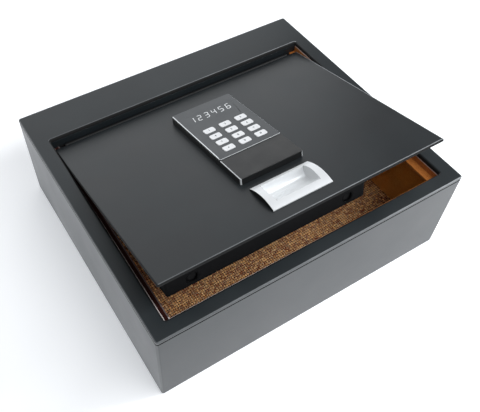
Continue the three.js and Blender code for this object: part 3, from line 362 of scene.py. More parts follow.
finishes = {
    paintedSteel: {
        "casingPaint": {"tones": ("#1b2023", "#22282b"), "grain": 0.9, "patch": 80,
            "sheen": (0.32, 0.38), "dust": 0.006, "specular": 0.5, "bump": 0.06, "rub": 0.5},
        "lidPaint": {"tones": ("#14181b", "#191f22"), "grain": 0.9, "patch": 65, "sheen": (0.34, 0.40),
            "dust": 0.006, "specular": 0.47, "bump": 0.06, "rub": 0.6},
        # black paint of the lock cover, made darker still as painted shade; it also paints shade on faces
        # marked minus one and the seam's bead
        "coverPaint": {"tones": ("#040405", "#070708"), "grain": 0.9, "patch": 50, "sheen": (0.6, 0.7),
            "dust": 0, "specular": 0.07, "bump": 0.12, "rub": 0.02},
    },
    drawnMetal: {
        "hingeSteel": {"tones": ("#0c0c0d", "#161718"), "metal": 0.5, "pitch": 0.3, "length": 20,
            "sheen": (0.45, 0.6), "bump": 0.08},
        "zincSteel": {"tones": ("#8a8d90", "#a4a7a9"), "metal": 0.9, "pitch": 0.3, "length": 15,
            "sheen": (0.3, 0.45), "bump": 0.08},
        "machinedBrass": {"tones": ("#a27c33", "#bd9548"), "metal": 0.95, "pitch": 0.2, "length": 8,
            "sheen": (0.25, 0.4), "bump": 0.06},
        "satinChrome": {"tones": ("#dcdee0", "#e5e7e8"), "metal": 0.3, "pitch": 0.2, "length": 25,
            "sheen": (0.42, 0.52), "bump": 0.02},
        "blackedSteel": {"tones": ("#060607", "#09090a"), "metal": 0.05, "pitch": 0.3, "length": 12,
            "sheen": (0.6, 0.7), "bump": 0.05, "specular": 0.1},
    },
    mouldedPlastic: {
        "padPlastic": {"tones": ("#07080a", "#0b0d0e"), "grain": 0.5, "sheen": (0.3, 0.38), "bump": 0.06,
            "rub": 1},
        "fasciaPlastic": {"tones": ("#383b3e", "#3f4245"), "grain": 0.5, "sheen": (0.3, 0.38),
            "bump": 0.04, "rub": 1},
        "keyPlastic": {"tones": ("#e1e2e4", "#e8e9eb"), "grain": 0.6, "sheen": (0.35, 0.5), "bump": 0.05,
            "dust": 0},
        "blackMoulding": {"tones": ("#121315", "#1b1c1e"), "grain": 0.6, "sheen": (0.45, 0.6),
            "bump": 0.15},
        "siliconeGrey": {"tones": ("#93979a", "#a3a7a9"), "grain": 0.7, "sheen": (0.7, 0.85),
            "bump": 0.1, "specular": 0.3},
        "boardGreen": {"tones": ("#17482e", "#22603d"), "grain": 1.2, "sheen": (0.35, 0.5), "bump": 0.15},
        "foamBlack": {"tones": ("#141416", "#202124"), "grain": 1, "sheen": (0.9, 0.95), "bump": 0.8,
            "specular": 0.1},
        "cellJacket": {"tones": ("#39444c", "#44505a"), "grain": 0.8, "sheen": (0.3, 0.4), "bump": 0.03},
        "lensSmoke": {"tones": ("#383b3e", "#3f4245"), "grain": 0.5, "sheen": (0.28, 0.36), "bump": 0.01},
        "legendInk": {"tones": ("#4a4d50", "#5a5d60"), "grain": 0.4, "sheen": (0.5, 0.6), "bump": 0.03},
        "figureWhite": {"tones": ("#e2e5e7", "#eceeef"), "grain": 0.4, "sheen": (0.4, 0.5), "bump": 0.02,
            "dust": 0},
    },
    softFelt: {
        # brownFelt's left tone is painted shade on the left of the ledge
        "brownFelt": {"tones": ("#9c5622", "#d08844"), "left": "#2a0a05", "fibre": 0.45, "sheen": 0.1},
        "wallFelt": {"tones": ("#dc8628", "#fcb860"), "fibre": 0.5, "sheen": 0.2},
    },
    copperWeave: {
        "matCopper": {"pitch": 3.1, "wander": 0.22, "strand": ("#862a04", "#ffbc74"), "glint": "#ffe6bc",
            "gap": "#220802", "rough": 0.8, "depth": 0.9},
    },
}
for maker, looks in finishes.items():
    for name, look in looks.items():
        maker(name, look)
print("materials: %d" % len(bpy.data.materials))


# mesh makers

def quarterTurn(steps):
    # angles from nought to a right angle
    return np.linspace(0, math.pi / 2, steps + 1)


def fullTurn(count):
    return np.linspace(0, 2 * math.pi, count, endpoint=False)


def spans(*parts):
    # runs of evenly spaced values, each given as (first, last, count), one after another
    return np.concatenate([np.linspace(*part) for part in parts])


def ring(low, high, corner, z, arc=6, inset=0.0):
    # rounded rectangle seen from above, drawn in by inset: quarter circles joined by straights
    angle = (np.array([-math.pi / 2, 0, math.pi / 2, math.pi])[:, None] + quarterTurn(arc)).ravel()
    left, front = low[0] + inset + corner, low[1] + inset + corner
    right, back = high[0] - inset - corner, high[1] - inset - corner
    cx = np.repeat([right, right, left, left], arc + 1)
    cy = np.repeat([front, back, back, front], arc + 1)
    return np.stack([cx + corner * np.cos(angle), cy + corner * np.sin(angle), np.full(angle.size, z)], -1)


def loft(rows, hoop=False):
    # rows of points, each a closed loop; a quad joins each pair of points to the next row
    rows = np.asarray(rows, float)
    index = np.arange(rows.shape[0] * rows.shape[1]).reshape(rows.shape[:2])
    low = index if hoop else index[:-1]
    high = np.roll(index, -1, 0) if hoop else index[1:]
    faces = np.stack([low, np.roll(low, -1, 1), np.roll(high, -1, 1), high], -1).reshape(-1, 4).tolist()
    if not hoop:
        faces += [index[0][::-1].tolist(), index[-1].tolist()]
    return rows.reshape(-1, 3), faces


def field(points):
    # an open grid of points, rows by columns, with a quad in every cell
    index = np.arange(points.shape[0] * points.shape[1]).reshape(points.shape[:2])
    quads = np.stack([index[:-1, :-1], index[:-1, 1:], index[1:, 1:], index[1:, :-1]], -1)
    return points.reshape(-1, 3), quads.reshape(-1, 4).tolist()


def slabRows(low, high, corner, edge, steps, arc):
    # upright slab between two corners, its outline drawn in along a quarter circle at bottom and top
    leastCorner = 0.05
    levels = [(edge * (1 - math.sin(t)), low[2] + edge * (1 - math.cos(t))) for t in quarterTurn(steps)]
    levels += [(edge * (1 - math.cos(t)), high[2] - edge * (1 - math.sin(t))) for t in quarterTurn(steps)]
    return [ring(low, high, max(corner - inset, leastCorner), height, arc, inset) for inset, height in levels]


def spun(profile, at, sides=40, axis="y"):
    # profile of (radius, place) pairs turned about a line along Y or Z through the point at
    angle = fullTurn(sides)
    radius, place = (np.array(column)[:, None] + 0 * angle for column in zip(*profile))
    first, second = radius * np.cos(angle), radius * np.sin(angle)
    if axis == "y":
        return np.stack([at[0] + first, place, at[1] + second], -1)
    return np.stack([at[0] + first, at[1] + second, place], -1)


def newObject(name, data):
    made = bpy.data.objects.new(name, data)
    bpy.context.scene.collection.objects.link(made)
    return made


def makePiece(name, parts, material, body, stands=(), sharp=38.0):
    # joins the parts, welds them, turns every face outwards and sets smooth shading with crisp edges
    points, faces, base = [], [], 0
    for partPoints, partFaces in parts:
        points.append(partPoints)
        faces += [[v + base for v in face] for face in partFaces]
        base += len(partPoints)
    points = np.concatenate(points)
    points = (points if body == "casing" else swung(points)) / 1000
    mesh = bpy.data.meshes.new(name)
    mesh.from_pydata(points.tolist(), [], faces)
    return finishMesh(name, mesh, material, body, stands, sharp)


def finishMesh(name, mesh, material, body, stands=(), sharp=38.0):
    # stands names the CAD nodes that the piece is shown in place of
    work = bmesh.new()
    work.from_mesh(mesh)
    bmesh.ops.remove_doubles(work, verts=work.verts, dist=1e-6)
    bmesh.ops.recalc_face_normals(work, faces=work.faces)
    work.to_mesh(mesh)
    work.free()
    mesh.shade_smooth()
    mesh.set_sharp_from_angle(angle=math.radians(sharp))
    mesh.materials.clear()
    mesh.materials.append(bpy.data.materials[material])
    piece = newObject(name, mesh)
    evened = piece.modifiers.new("evened", "WEIGHTED_NORMAL")
    evened.keep_sharp = True
    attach(piece, body)
    if stands:
        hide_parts(*stands)
    return piece


# how faces are told apart by normal and height, and the marks that are neither nothing nor one
markLook = {"square": 0.97, "flat": 0.99, "firstStep": 0.9, "rim": 4.0, "roll": 6.0, "seam": 1.0,
            "shell": 0.6, "soft": -0.3, "half": -0.5}
crispAngle, flatAngle = 50, 0.5    # degrees between two faces


def dressed(nodeName, name, material, edge=0.0, sharp=38.0, rim=0.0, rate=None, dark=None):
    # a welded copy of a CAD solid, its flat faces made whole and its crisp edges lightly rounded;
    # rim parts a narrow border off the top face, rate gives each face its edge mark, and a face marked
    # minus one takes the dark material as painted shade
    mesh = nodes[nodeName].data.copy()
    work = bmesh.new()
    work.from_mesh(mesh)
    bmesh.ops.remove_doubles(work, verts=work.verts, dist=2e-6)
    bmesh.ops.dissolve_limit(work, angle_limit=math.radians(flatAngle), verts=work.verts, edges=work.edges)
    body = nodes[nodeName]["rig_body"]
    c, t = (1.0, 0.0) if body == "casing" else (math.cos(lidAngle), math.sin(lidAngle))

    def local(v):
        # a direction in the piece's own frame, with the lid shut
        return (v.x, c * v.y - t * v.z, c * v.z + t * v.y)

    mark = work.faces.layers.float.new("edgeMark")
    if edge:
        least = math.radians(crispAngle)
        crisp = [e for e in work.edges if len(e.link_faces) == 2 and e.calc_face_angle() > least]
        bmesh.ops.bevel(work, geom=crisp, offset=edge / 1000, offset_type="OFFSET", segments=2, profile=0.5,
                        affect="EDGES", clamp_overlap=True)
    if rim:
        level = [f for f in work.faces if local(f.normal)[2] > markLook["flat"]]
        top = max(level, key=lambda f: f.calc_area())
        bmesh.ops.inset_region(work, faces=[top], thickness=rim / 1000, use_even_offset=True)
    if rate:
        for face in work.faces:
            face[mark] = rate(local(face.normal), face.calc_center_median() * 1000)
            face.material_index = 1 if face[mark] <= -1.0 and dark else 0
    work.to_mesh(mesh)
    work.free()
    piece = finishMesh(name, mesh, material, body, [nodeName], sharp)
    if dark:
        mesh.materials.append(bpy.data.materials[dark])
    return piece


# casing

frameLow, frameHigh = restBox("top_frame")


def rounded(n):
    # true for a face that stands square to none of the axes
    return max(abs(n[0]), abs(n[1]), abs(n[2])) < markLook["square"]


def shellMark(n, at):
    # the box's edges are painted a little pale, worn paint and painted highlight; the one under the top plate
    # is painted shade for the seam
    if not rounded(n):
        return 0.0
    return -1.0 if at.z > frameLow[2] - markLook["seam"] else markLook["shell"]


def topEdgeMark(n, at):
    # outer edges are painted pale (worn paint and painted highlight), dark in the seam (painted shade); the
    # roll round the opening is painted shade, less so at the right, and its first step at the back a painted
    # highlight
    m = markLook
    if min(at.x - frameLow[0], frameHigh[0] - at.x, at.y - frameLow[1], frameHigh[1] - at.y) <= m["rim"]:
        if not rounded(n):
            return 0.0
        return -1.0 if at.z < frameLow[2] + m["seam"] else 1.0
    if n[2] > m["flat"] or at.z < frameHigh[2] - m["roll"]:
        return 0.0
    if n[2] > m["firstStep"]:
        return 1.0 if n[1] < -0.05 else m["soft"]
    return m["half"] if n[2] > 0.7 and n[0] < -0.3 else -1.0


def lidEdgeMark(n, at):
    # the rolled edge's first step is painted pale at the front and the right as a painted highlight, the rest
    # is painted shade
    if n[2] > markLook["flat"] or n[2] < -0.5:
        return 0.0
    if n[2] > markLook["firstStep"]:
        return 1.0 if n[1] < -0.1 or n[0] > 0.1 else markLook["soft"]
    return -1.0


dressed("body_shell", "casingBox", "casingPaint", rate=shellMark, dark="coverPaint")
dressed("top_frame", "casingTop", "casingPaint", edge=0.4, rate=topEdgeMark,
        dark="coverPaint")
dressed("strike_plate", "strikeRail", "hingeSteel", edge=0.2)

seamLook = {"radius": 0.75, "sunk": 0.05, "corner": 3.0, "drop": 0.1, "sides": 8}


def seamShadeBead():
    # a dark bead under the top plate, painted shade for the seam: a small circle carried round the casing's
    # outline
    low, high = restBox("body_shell")
    seam, r = high[2] - seamLook["drop"], seamLook["radius"]
    rows = []
    for t in fullTurn(seamLook["sides"]):
        inset = seamLook["sunk"] + r * (1 - math.cos(t))
        rows.append(ring(low, high, seamLook["corner"] - inset, seam + r * math.sin(t), inset=inset))
    return loft(rows, hoop=True)


makePiece("seamShadeBead", [seamShadeBead()], "coverPaint", "casing")

feltLook = {"wall": 1.6, "sheet": 1.6, "round": 0.5, "fuzz": 0.06, "step": 3.0, "sideReach": 10.1,
            "frontReach": 7.6, "bound": 4.2, "line": 0.8, "tuck": 0.3, "wrap": 0.45, "hang": 2.0, "hem": 0.05}


def ledgeFelt():
    # an L-shaped strip carried round three sides: every profile point keeps its distance from the wall,
    # and its reach over the ledge is stretched to the ledge's width on that side
    low, high = restBox("ledge_felt")
    (left, front), (right, back) = low[:2], high[:2]
    f = feltLook
    r, wall, lip = f["round"], f["wall"], f["wrap"]
    z0, z1, zSheet = low[2], high[2], low[2] + f["sheet"]
    turn = quarterTurn(3)
    # (share of the ledge, millimetres from the wall, height), walked round the L's outline
    outline = [(0, 0, z0), (0, 0, z1 - r)]
    outline += [(0, r - r * math.cos(t), z1 - r + r * math.sin(t)) for t in turn]
    outline += [(0, wall - r + r * math.sin(t), z1 - r + r * math.cos(t)) for t in turn]
    outline += [(0, wall, z1 - r - f["line"]), (0, wall, zSheet + r)]
    outline += [(0, wall + r - r * math.cos(t), zSheet + r - r * math.sin(t)) for t in turn[1:]]
    outline += [(0, f["bound"], zSheet), (0, f["bound"] + f["line"], zSheet)]
    outline += [(1, -f["line"] - f["tuck"], zSheet)]
    outline += [(1, lip - r + r * math.sin(t), zSheet - r + r * math.cos(t)) for t in turn]
    outline += [(1, lip, z0 - f["hang"]), (1, f["hem"], z0 - f["hang"]), (1, f["hem"], z0)]
    share, away, height = (np.array(column) for column in zip(*outline))
    sideReach = share * f["sideReach"] + away
    frontReach = share * f["frontReach"] + away
    alongSide = np.arange(back, front, -f["step"])
    alongFront = np.arange(left, right, f["step"])[1:]
    stations = [(left, y, 1, 0) for y in alongSide] + [(left, front, 1, 1)]
    stations += [(x, front, 0, 1) for x in alongFront] + [(right, front, -1, 1)]
    stations += [(right, y, -1, 0) for y in alongSide[::-1]]
    at = np.array(stations)
    wobble = np.sin(np.arange(len(at)) * 1.7)[:, None] * np.sin(np.arange(len(outline)) * 2.3)
    return loft(np.stack([at[:, 0:1] + at[:, 2:3] * sideReach, at[:, 1:2] + at[:, 3:4] * frontReach,
                          height - f["fuzz"] * (wobble + 1)], -1))


def markFaces(piece, rate):
    # gives each face of a finished piece its edge mark, from its normal and its middle in millimetres
    mesh = piece.data
    marks = rate(triples(mesh.polygons, "normal"), triples(mesh.polygons, "center") * 1000.0)
    mesh.attributes.new("edgeMark", "FLOAT", "FACE").data.foreach_set("value", marks.astype(np.float32))


feltLightLook = {"cut": 0.85, "cutFrom": 20, "cutOver": 80, "cutLeast": 0.1, "inner": 0.12, "innerAway": 9.0,
            "lip": 0.7, "lipFrom": 60, "lipOver": 120, "lipAway": 6.4, "top": 0.5, "topAway": 2.0,
            "topDepth": 1.6}


def feltPaintedLight(n, at):
    # painted light on the felt. left: a black band along the wall (painted shade), a pale line at its edge
    # that fades towards the back, a faint pale inner lip; right: pale top edge; front: pale lip that fades
    # towards the right; the pale marks are painted highlight
    feltLight = feltLightLook
    low, high = restBox("ledge_felt")
    left, right, front = at[:, 0] - low[0], high[0] - at[:, 0], at[:, 1] - low[1]
    away = np.minimum(np.minimum(left, right), front)
    bound, up = feltLook["bound"], n[:, 2] > 0.1
    onLeft = left <= np.minimum(right, front)
    onFront = front < np.minimum(left, right)
    marks = np.zeros(len(at))
    marks[onLeft & (away < bound)] = -1.0
    cut = np.clip((feltLight["cutFrom"] - at[:, 1]) / feltLight["cutOver"], feltLight["cutLeast"], 1) * feltLight["cut"]
    marks = np.where(onLeft & (away >= bound) & (away <= bound + feltLook["line"]), cut, marks)
    marks[onLeft & (away > feltLight["innerAway"]) & up] = feltLight["inner"]
    fade = np.clip((feltLight["lipFrom"] - at[:, 0]) / feltLight["lipOver"], 0, 1) * feltLight["lip"]
    marks = np.where(onFront & (away > feltLight["lipAway"]) & up, fade, marks)
    onTop = (away < feltLight["topAway"]) & (at[:, 2] > high[2] - feltLight["topDepth"])
    marks[~onLeft & ~onFront & onTop] = feltLight["top"]
    return marks


ledge = makePiece("ledgeFelt", [ledgeFelt()], "brownFelt", "casing", ["ledge_felt"])
markFaces(ledge, feltPaintedLight)


def liningSheet(nodeName, name, material, edge):
    # a flat sheet bonded to the steel, its edges and corners rounded alike
    rows = slabRows(*restBox(nodeName), edge, edge, 3, 3)
    makePiece(name, [loft(rows)], material, "casing", [nodeName])


liningSheet("floor_carpet", "floorMat", "matCopper", 1.2)
for side in ("left", "right", "front", "back"):
    liningSheet("wall_lining_" + side, side + "Lining", "wallFelt", 0.6)
print("casing and linings done")


# lid, hinge and lock housing

dressed("lid_plate", "lidPlate", "lidPaint", edge=0.2, rate=lidEdgeMark, dark="coverPaint")
dressed("lock_cover", "lockCover", "coverPaint", edge=0.2)
dressed("hinge_frame_leaf", "hingeFrameLeaf", "hingeSteel", sharp=30)
dressed("hinge_lid_leaf", "hingeLidLeaf", "hingeSteel", sharp=30)
dressed("battery_door", "batteryDoor", "blackMoulding", edge=0.2)

boltLook = {"radius": 5.5, "tip": -145.7, "tail": -86.7, "chamfer": 1.0, "spigot": 4.0,
            "lug": -83.6, "rivet": 5.0, "rivetHeight": 2.0, "z": 97.2}
bushLook = {"inner": 5.8, "outer": 6.7, "flange": 7.4, "face": -147.7, "seat": -146.2,
            "flangeBack": -144.8, "end": -138.7, "break": 0.3}
axisRadius = 0.05    # a profile's ends stop this far from its axis


def boltProfile():
    # from the tip back: a rounded nose, the shank, a thin spigot, a rivet's dome
    b = boltLook
    r, tip, c = b["radius"], b["tip"], b["chamfer"]
    nose = [(r - c + c * math.sin(t), tip + c - c * math.cos(t)) for t in quarterTurn(5)]
    tail = [(r, b["tail"]), (b["spigot"], b["tail"]), (b["spigot"], b["lug"]), (b["rivet"], b["lug"])]
    dome = [(b["rivet"] * math.cos(t), b["lug"] + b["rivetHeight"] * math.sin(t)) for t in quarterTurn(5)]
    return [(axisRadius, tip)] + nose + tail + dome[:-1] + [(axisRadius, dome[-1][1])]


def bushProfile():
    # a flanged sleeve, its two front edges broken
    inner, outer, flange, face, seat, flangeBack, end, broken = bushLook.values()
    return [(inner + broken, face), (inner, face + broken), (inner, end), (outer, end),
            (outer, flangeBack), (flange, flangeBack), (flange, seat), (outer, seat),
            (outer, face + broken), (outer - broken, face)]


for side in ("left", "right"):
    low, high = shutBox("bolt_" + side)
    at = ((low[0] + high[0]) / 2, boltLook["z"])
    makePiece(side + "Bolt", [loft(spun(boltProfile(), at))], "blackedSteel", "bolts",
              ["bolt_" + side])
    makePiece(side + "Bush", [loft(spun(bushProfile(), at), hoop=True)], "coverPaint", "lid",
              ["bolt_guide_" + side])
print("lid, hinge and lock housing done")


# keypad

padLook = {"tilt": 0.3, "bright": 0.9, "front": 0.5, "near": 0.9}
fasciaLow, fasciaHigh = shutBox("keypad_fascia")


def padMark(n, at):
    # the pad's left top edge and its two front corners are painted bright, a painted highlight
    tilt = padLook["tilt"]
    if n[2] > tilt and n[0] < -tilt:
        return 1.0
    return padLook["bright"] if n[1] < -tilt and abs(n[0]) > tilt and abs(n[2]) < tilt else 0.0


def fasciaMark(n, at):
    # the fascia's top edges at the left, the right and the front, painted pale as a painted highlight
    if n[2] < 0.5:
        return 0.0
    flat = swung([at], -lidAngle)[0]
    if flat[0] - fasciaLow[0] < padLook["near"]:
        return 1.0
    if fasciaHigh[0] - flat[0] < padLook["near"]:
        return padLook["bright"]
    return padLook["front"] if flat[1] - fasciaLow[1] < padLook["near"] else 0.0


dressed("keypad_housing", "padBase", "padPlastic", edge=0.15, rate=padMark)
dressed("keypad_fascia", "padFascia", "fasciaPlastic", edge=0.12, rim=0.75, rate=fasciaMark)

# the window: an upright slab a little wider than its hole, so that no gap shows round it
lensLook = {"cover": 0.45, "round": 0.15, "proud": 0.03, "corner": 0.8}
low, high = shutBox("display_lens")
grow, lensTop = lensLook["cover"], high[2] + lensLook["proud"]
window = slabRows(low - [grow, grow, 0], high + [grow, grow, lensLook["proud"]],
                  lensLook["corner"], lensLook["round"], 2, 4)
makePiece("displayLens", [loft(window)], "lensSmoke", "lid", ["display_lens"])

keyLook = {"width": 14.4, "length": 8.6, "corner": 2.0, "edge": 0.55, "dish": 0.25, "flat": 0.2,
           "lip": 1.0, "lipCorner": 2.4, "flangeTop": 2.7, "flangeBase": 3.5, "stem": 2.5, "foot": 4.1}
keyNames = "1 2 3 4 5 6 7 8 9 star 0 hash".split()
keyFigures = {"star": "*", "hash": "#"}


def keyRows(cx, cy, top):
    # loops from the stem's foot up: flange, cap side, a rounded edge, then a shallow dish
    k = keyLook
    halfX, halfY = k["width"] / 2, k["length"] / 2

    def around(grow, corner, z):
        return ring((cx - halfX, cy - halfY), (cx + halfX, cy + halfY), corner, z, inset=-grow)

    stem, edge, base, shelf = k["stem"], k["edge"], top - k["flangeBase"], top - k["flangeTop"]
    rows = [ring((cx - stem, cy - stem), (cx + stem, cy + stem), stem, z) for z in (top - k["foot"], base)]
    rows += [around(k["lip"], k["lipCorner"], base), around(k["lip"], k["lipCorner"], shelf),
             around(0, k["corner"], shelf)]
    for t in quarterTurn(5):
        drawn = edge * (1 - math.cos(t))
        rows.append(around(-drawn, k["corner"] - drawn, top - edge * (1 - math.sin(t))))
    for share in (0.08, 0.2, 0.35, 0.55, 0.8, 1.0):
        inset = edge + share * (halfY - edge - k["flat"])
        rows.append(around(-inset, max(k["corner"] - inset, 0.15), top - k["dish"] * (1 - (1 - share) ** 2)))
    return rows


legendLook = {"size": 4.3, "thick": 0.08, "sunk": 0.03, "bold": 0.02}


def figureMesh(name, text, cx, cy, z):
    # a figure as a thin flat solid, centred on (cx, cy), its underside sunk a little below z
    thick = legendLook["thick"]
    curve = bpy.data.curves.new(name, "FONT")
    curve.body = text
    curve.size = legendLook["size"]
    curve.extrude = thick / 2
    curve.offset = legendLook["bold"] * curve.size
    curve.resolution_u = 6
    curve.align_x = "CENTER"
    holder = newObject(name + "Curve", curve)
    bpy.context.view_layer.update()
    mesh = bpy.data.meshes.new_from_object(holder.evaluated_get(bpy.context.evaluated_depsgraph_get()))
    bpy.data.objects.remove(holder)
    bpy.data.curves.remove(curve)
    co = triples(mesh.vertices, "co").astype(float)
    co += np.array([cx, cy, z - legendLook["sunk"] + thick / 2]) - (co.min(0) + co.max(0)) / 2
    mesh.vertices.foreach_set("co", (swung(co) / 1000).astype(np.float32).ravel())
    mesh.name = name
    return mesh


for keyName in keyNames:
    low, high = shutBox("key_" + keyName)
    cx, cy, top = (low[0] + high[0]) / 2, (low[1] + high[1]) / 2, high[2]
    body = "key_" + keyName + "_cap"
    makePiece("keyCap_" + keyName, [loft(keyRows(cx, cy, top))], "keyPlastic", body,
              ["key_" + keyName])
    name = "keyFigure_" + keyName
    figure = figureMesh(name, keyFigures.get(keyName, keyName), cx, cy, top - keyLook["dish"])
    finishMesh(name, figure, "legendInk", body)

digitLook = {"left": -29.0, "right": 26.5, "low": 40.6, "high": 51.8, "width": 5.6, "bar": 0.95,
             "gap": 0.15, "lean": 0.16, "thick": 0.12, "sunk": 0.02}
# the two ends of each bar, counted in a digit's widths and half heights
segmentEnds = {"a": (0, 2, 1, 2), "b": (1, 2, 1, 1), "c": (1, 1, 1, 0), "d": (0, 0, 1, 0),
               "e": (0, 1, 0, 0), "f": (0, 2, 0, 1), "g": (0, 1, 1, 1)}
digitSegments = {"1": "bc", "2": "abged", "3": "abgcd", "4": "fgbc", "5": "afgcd", "6": "afgedc"}


def digitBars(text, top):
    # each lit bar is a six-sided slip from node to node of the digit's frame, leaned over by a shear
    d = digitLook
    pitch = (d["right"] - d["left"] - d["width"]) / (len(text) - 1)
    half = d["bar"] / 2
    cell = [d["width"] - d["bar"], (d["high"] - d["low"] - d["bar"]) / 2]
    parts = []
    for place, character in enumerate(text):
        for segment in digitSegments[character]:
            a, b = np.reshape(segmentEnds[segment], (2, 2)) * cell
            way = (b - a) / np.linalg.norm(b - a)
            side = np.array([-way[1], way[0]])
            a, b = a + way * d["gap"], b - way * d["gap"]
            outline = np.array([a, a + half * (way - side), b - half * (way + side), b,
                                b - half * (way - side), a + half * (way + side)])
            x = d["left"] + half + place * pitch + outline[:, 0] + d["lean"] * outline[:, 1]
            y = d["low"] + half + outline[:, 1]
            rows = [np.stack([x, y, np.full(6, z)], -1) for z in (top, top + d["thick"])]
            parts.append(loft(rows))
    return parts


makePiece("displayFigures", digitBars("123456", lensTop - digitLook["sunk"]), "figureWhite", "lid")
print("keypad done")


# pull

pullLook = {"half": 38.0, "front": -135.6, "back": -92.8, "base": 115.3, "edge": 1.3, "rise": 4.9,
            "scoopHalf": 28.6, "flare": 0.8, "lip": 5.4, "heel": 8.1, "depth": 12.5, "lean": 1.8,
            "toe": 6.2, "wall": 1.6, "lidTop": 115.0, "round": 0.6, "soft": 0.4, "fillet": 0.5,
            "backSlope": 8, "frontSlope": 0.9, "slack": 0.02, "stud": 35.2, "studRadius": 2.0}
pullMiddle = (pullLook["front"] + pullLook["back"]) / 2


def pullArch(y):
    # height of the arched top: a parabola over the pull's length
    p = pullLook
    share = (y - pullMiddle) / ((p["back"] - p["front"]) / 2)
    return p["base"] + p["edge"] + p["rise"] * (1 - share ** 2)


def scoopFloor(y, drop=0.0):
    # height of the scoop's trough: a cubic Bezier from the back lip down its wall and out to the front
    p = pullLook
    back, front = p["back"] - p["lip"], p["front"] + p["heel"]
    floor = p["lidTop"] - p["depth"] - drop
    ends = np.array([[back + drop * 0.8, pullArch(back)], [back - p["lean"] + drop * 0.8, floor + p["lean"]],
                     [pullMiddle + p["toe"], floor], [front - drop * 0.4, pullArch(front) - drop]])
    t = np.linspace(0, 1, 300)[:, None]
    s = 1 - t
    curve = s ** 3 * ends[0] + 3 * t * s ** 2 * ends[1] + 3 * t ** 2 * s * ends[2] + t ** 3 * ends[3]
    order = np.argsort(curve[:, 0])
    beyond = np.maximum(y - ends[0, 0], 0) * p["backSlope"] + np.maximum(ends[3, 0] - y, 0) * p["frontSlope"]
    return np.interp(y, curve[order, 0], curve[order, 1]) + beyond


def softMin(a, b, width):
    # smaller of two heights, the crease rounded: the logarithm of two summed exponentials
    return -width * np.logaddexp(-a / width, -b / width)


def pullSurface():
    # top: the arch cut by the scoop; bottom: flat, with the scoop's cup hanging through the lid
    # the grid is finer at the scoop's end walls and at its back lip
    p = pullLook
    r = p["round"]
    wallAt = p["scoopHalf"] + p["flare"] / 2
    right = spans((wallAt - 1.4, wallAt + 1.1, 26), (wallAt + 1.2, p["half"] - r, 12))
    x = np.concatenate([-right[::-1], spans((1.6 - wallAt, wallAt - 1.6, 50)), right])
    lipAt = p["back"] - p["lip"]
    y = spans((p["front"] + r, lipAt - 4.0, 60), (lipAt - 3.8, lipAt + 0.8, 46),
              (lipAt + 1.0, p["back"] - r, 12))
    gx, gy = np.meshgrid(x, y, indexing="ij")
    slope = (p["depth"] + p["rise"]) / p["flare"]
    out = np.abs(gx) - p["scoopHalf"]
    eased = p["fillet"] * np.logaddexp(0, out / p["fillet"])
    cut = scoopFloor(gy) + slope * np.maximum(eased - p["slack"], 0)
    top = np.stack([gx, gy, softMin(pullArch(gy), cut, p["soft"])], -1)
    hanging = scoopFloor(gy, p["wall"]) + slope * np.maximum(out - p["wall"], 0)
    bottom = np.stack([gx, gy, np.minimum(p["base"], hanging)], -1)
    border = np.concatenate([top[:, 0], top[-1, 1:], top[-2::-1, -1], top[0, -2:0:-1]])
    spreadX = np.sign(border[:, 0]) * (np.abs(border[:, 0]) >= p["half"] - r - 1e-6)
    spreadY = np.where(border[:, 1] <= y[0] + 1e-6, -1, np.where(border[:, 1] >= y[-1] - 1e-6, 1, 0))
    outwards = np.stack([spreadX, spreadY, 0 * spreadX], -1)
    rows = [border + r * (outwards * math.sin(t) - [0, 0, 1 - math.cos(t)]) for t in quarterTurn(5)]
    rows.append(rows[-1] * [1, 1, 0] + [0, 0, p["base"]])
    for edgeAt, face in ((0, -1), (-1, 1)):
        bottom[edgeAt, :, 0] += face * r
        bottom[:, edgeAt, 1] += face * r
        bottom[edgeAt, :, 2] = bottom[:, edgeAt, 2] = p["base"]
    skirtPoints, skirtFaces = loft(rows)
    return [field(top), (skirtPoints, skirtFaces[:-2]), field(bottom)]


def studRows(cx, cy):
    # a threaded stud's plain outline, its tip broken
    low, r, broken = shutBox("pull_handle")[0][2], pullLook["studRadius"], 0.5
    return spun([(r - broken, low), (r, low + broken), (r, pullLook["base"] + broken)], (cx, cy), 24, "z")


studs = [loft(studRows(x, pullMiddle)) for x in (-pullLook["stud"], pullLook["stud"])]
pull = makePiece("pullHandle", pullSurface() + studs, "satinChrome", "lid", ["pull_handle"],
                 sharp=50)
pullShade = {"crease": -0.55, "wall": -0.12, "rim": -0.5, "end": -1.0}


def pullMark(n, at):
    # painted shade: the ends are black, the scoop's end walls a little grey, their rims and the creases below
    # dark
    out, across = np.abs(at[:, 0]) - pullLook["scoopHalf"], np.abs(n[:, 0])
    outer = pullLook["half"] - pullLook["scoopHalf"]
    marks = np.zeros(len(at))
    marks[(out > -1.4) & (out < 0.1) & (across > 0.08) & (n[:, 2] > 0)] = pullShade["crease"]
    marks[(across > 0.75) & (out < outer - 0.4)] = pullShade["wall"]
    marks[(out > 0.3) & (out < outer - 2) & (across > 0.2) & (across <= 0.75)] = pullShade["rim"]
    marks[(across > 0.5) & (out > outer - 0.7)] = pullShade["end"]
    return marks


markFaces(pull, pullMark)
print("pull done")


# screws

screwLook = {"head": 3.1, "height": 1.7, "crown": 0.55, "shank": 1.5, "slot": 0.55, "reach": 1.9,
             "sunk": 0.9, "side": 0.05, "end": 0.08, "edge": 0.2, "under": 0.3, "sides": 48}


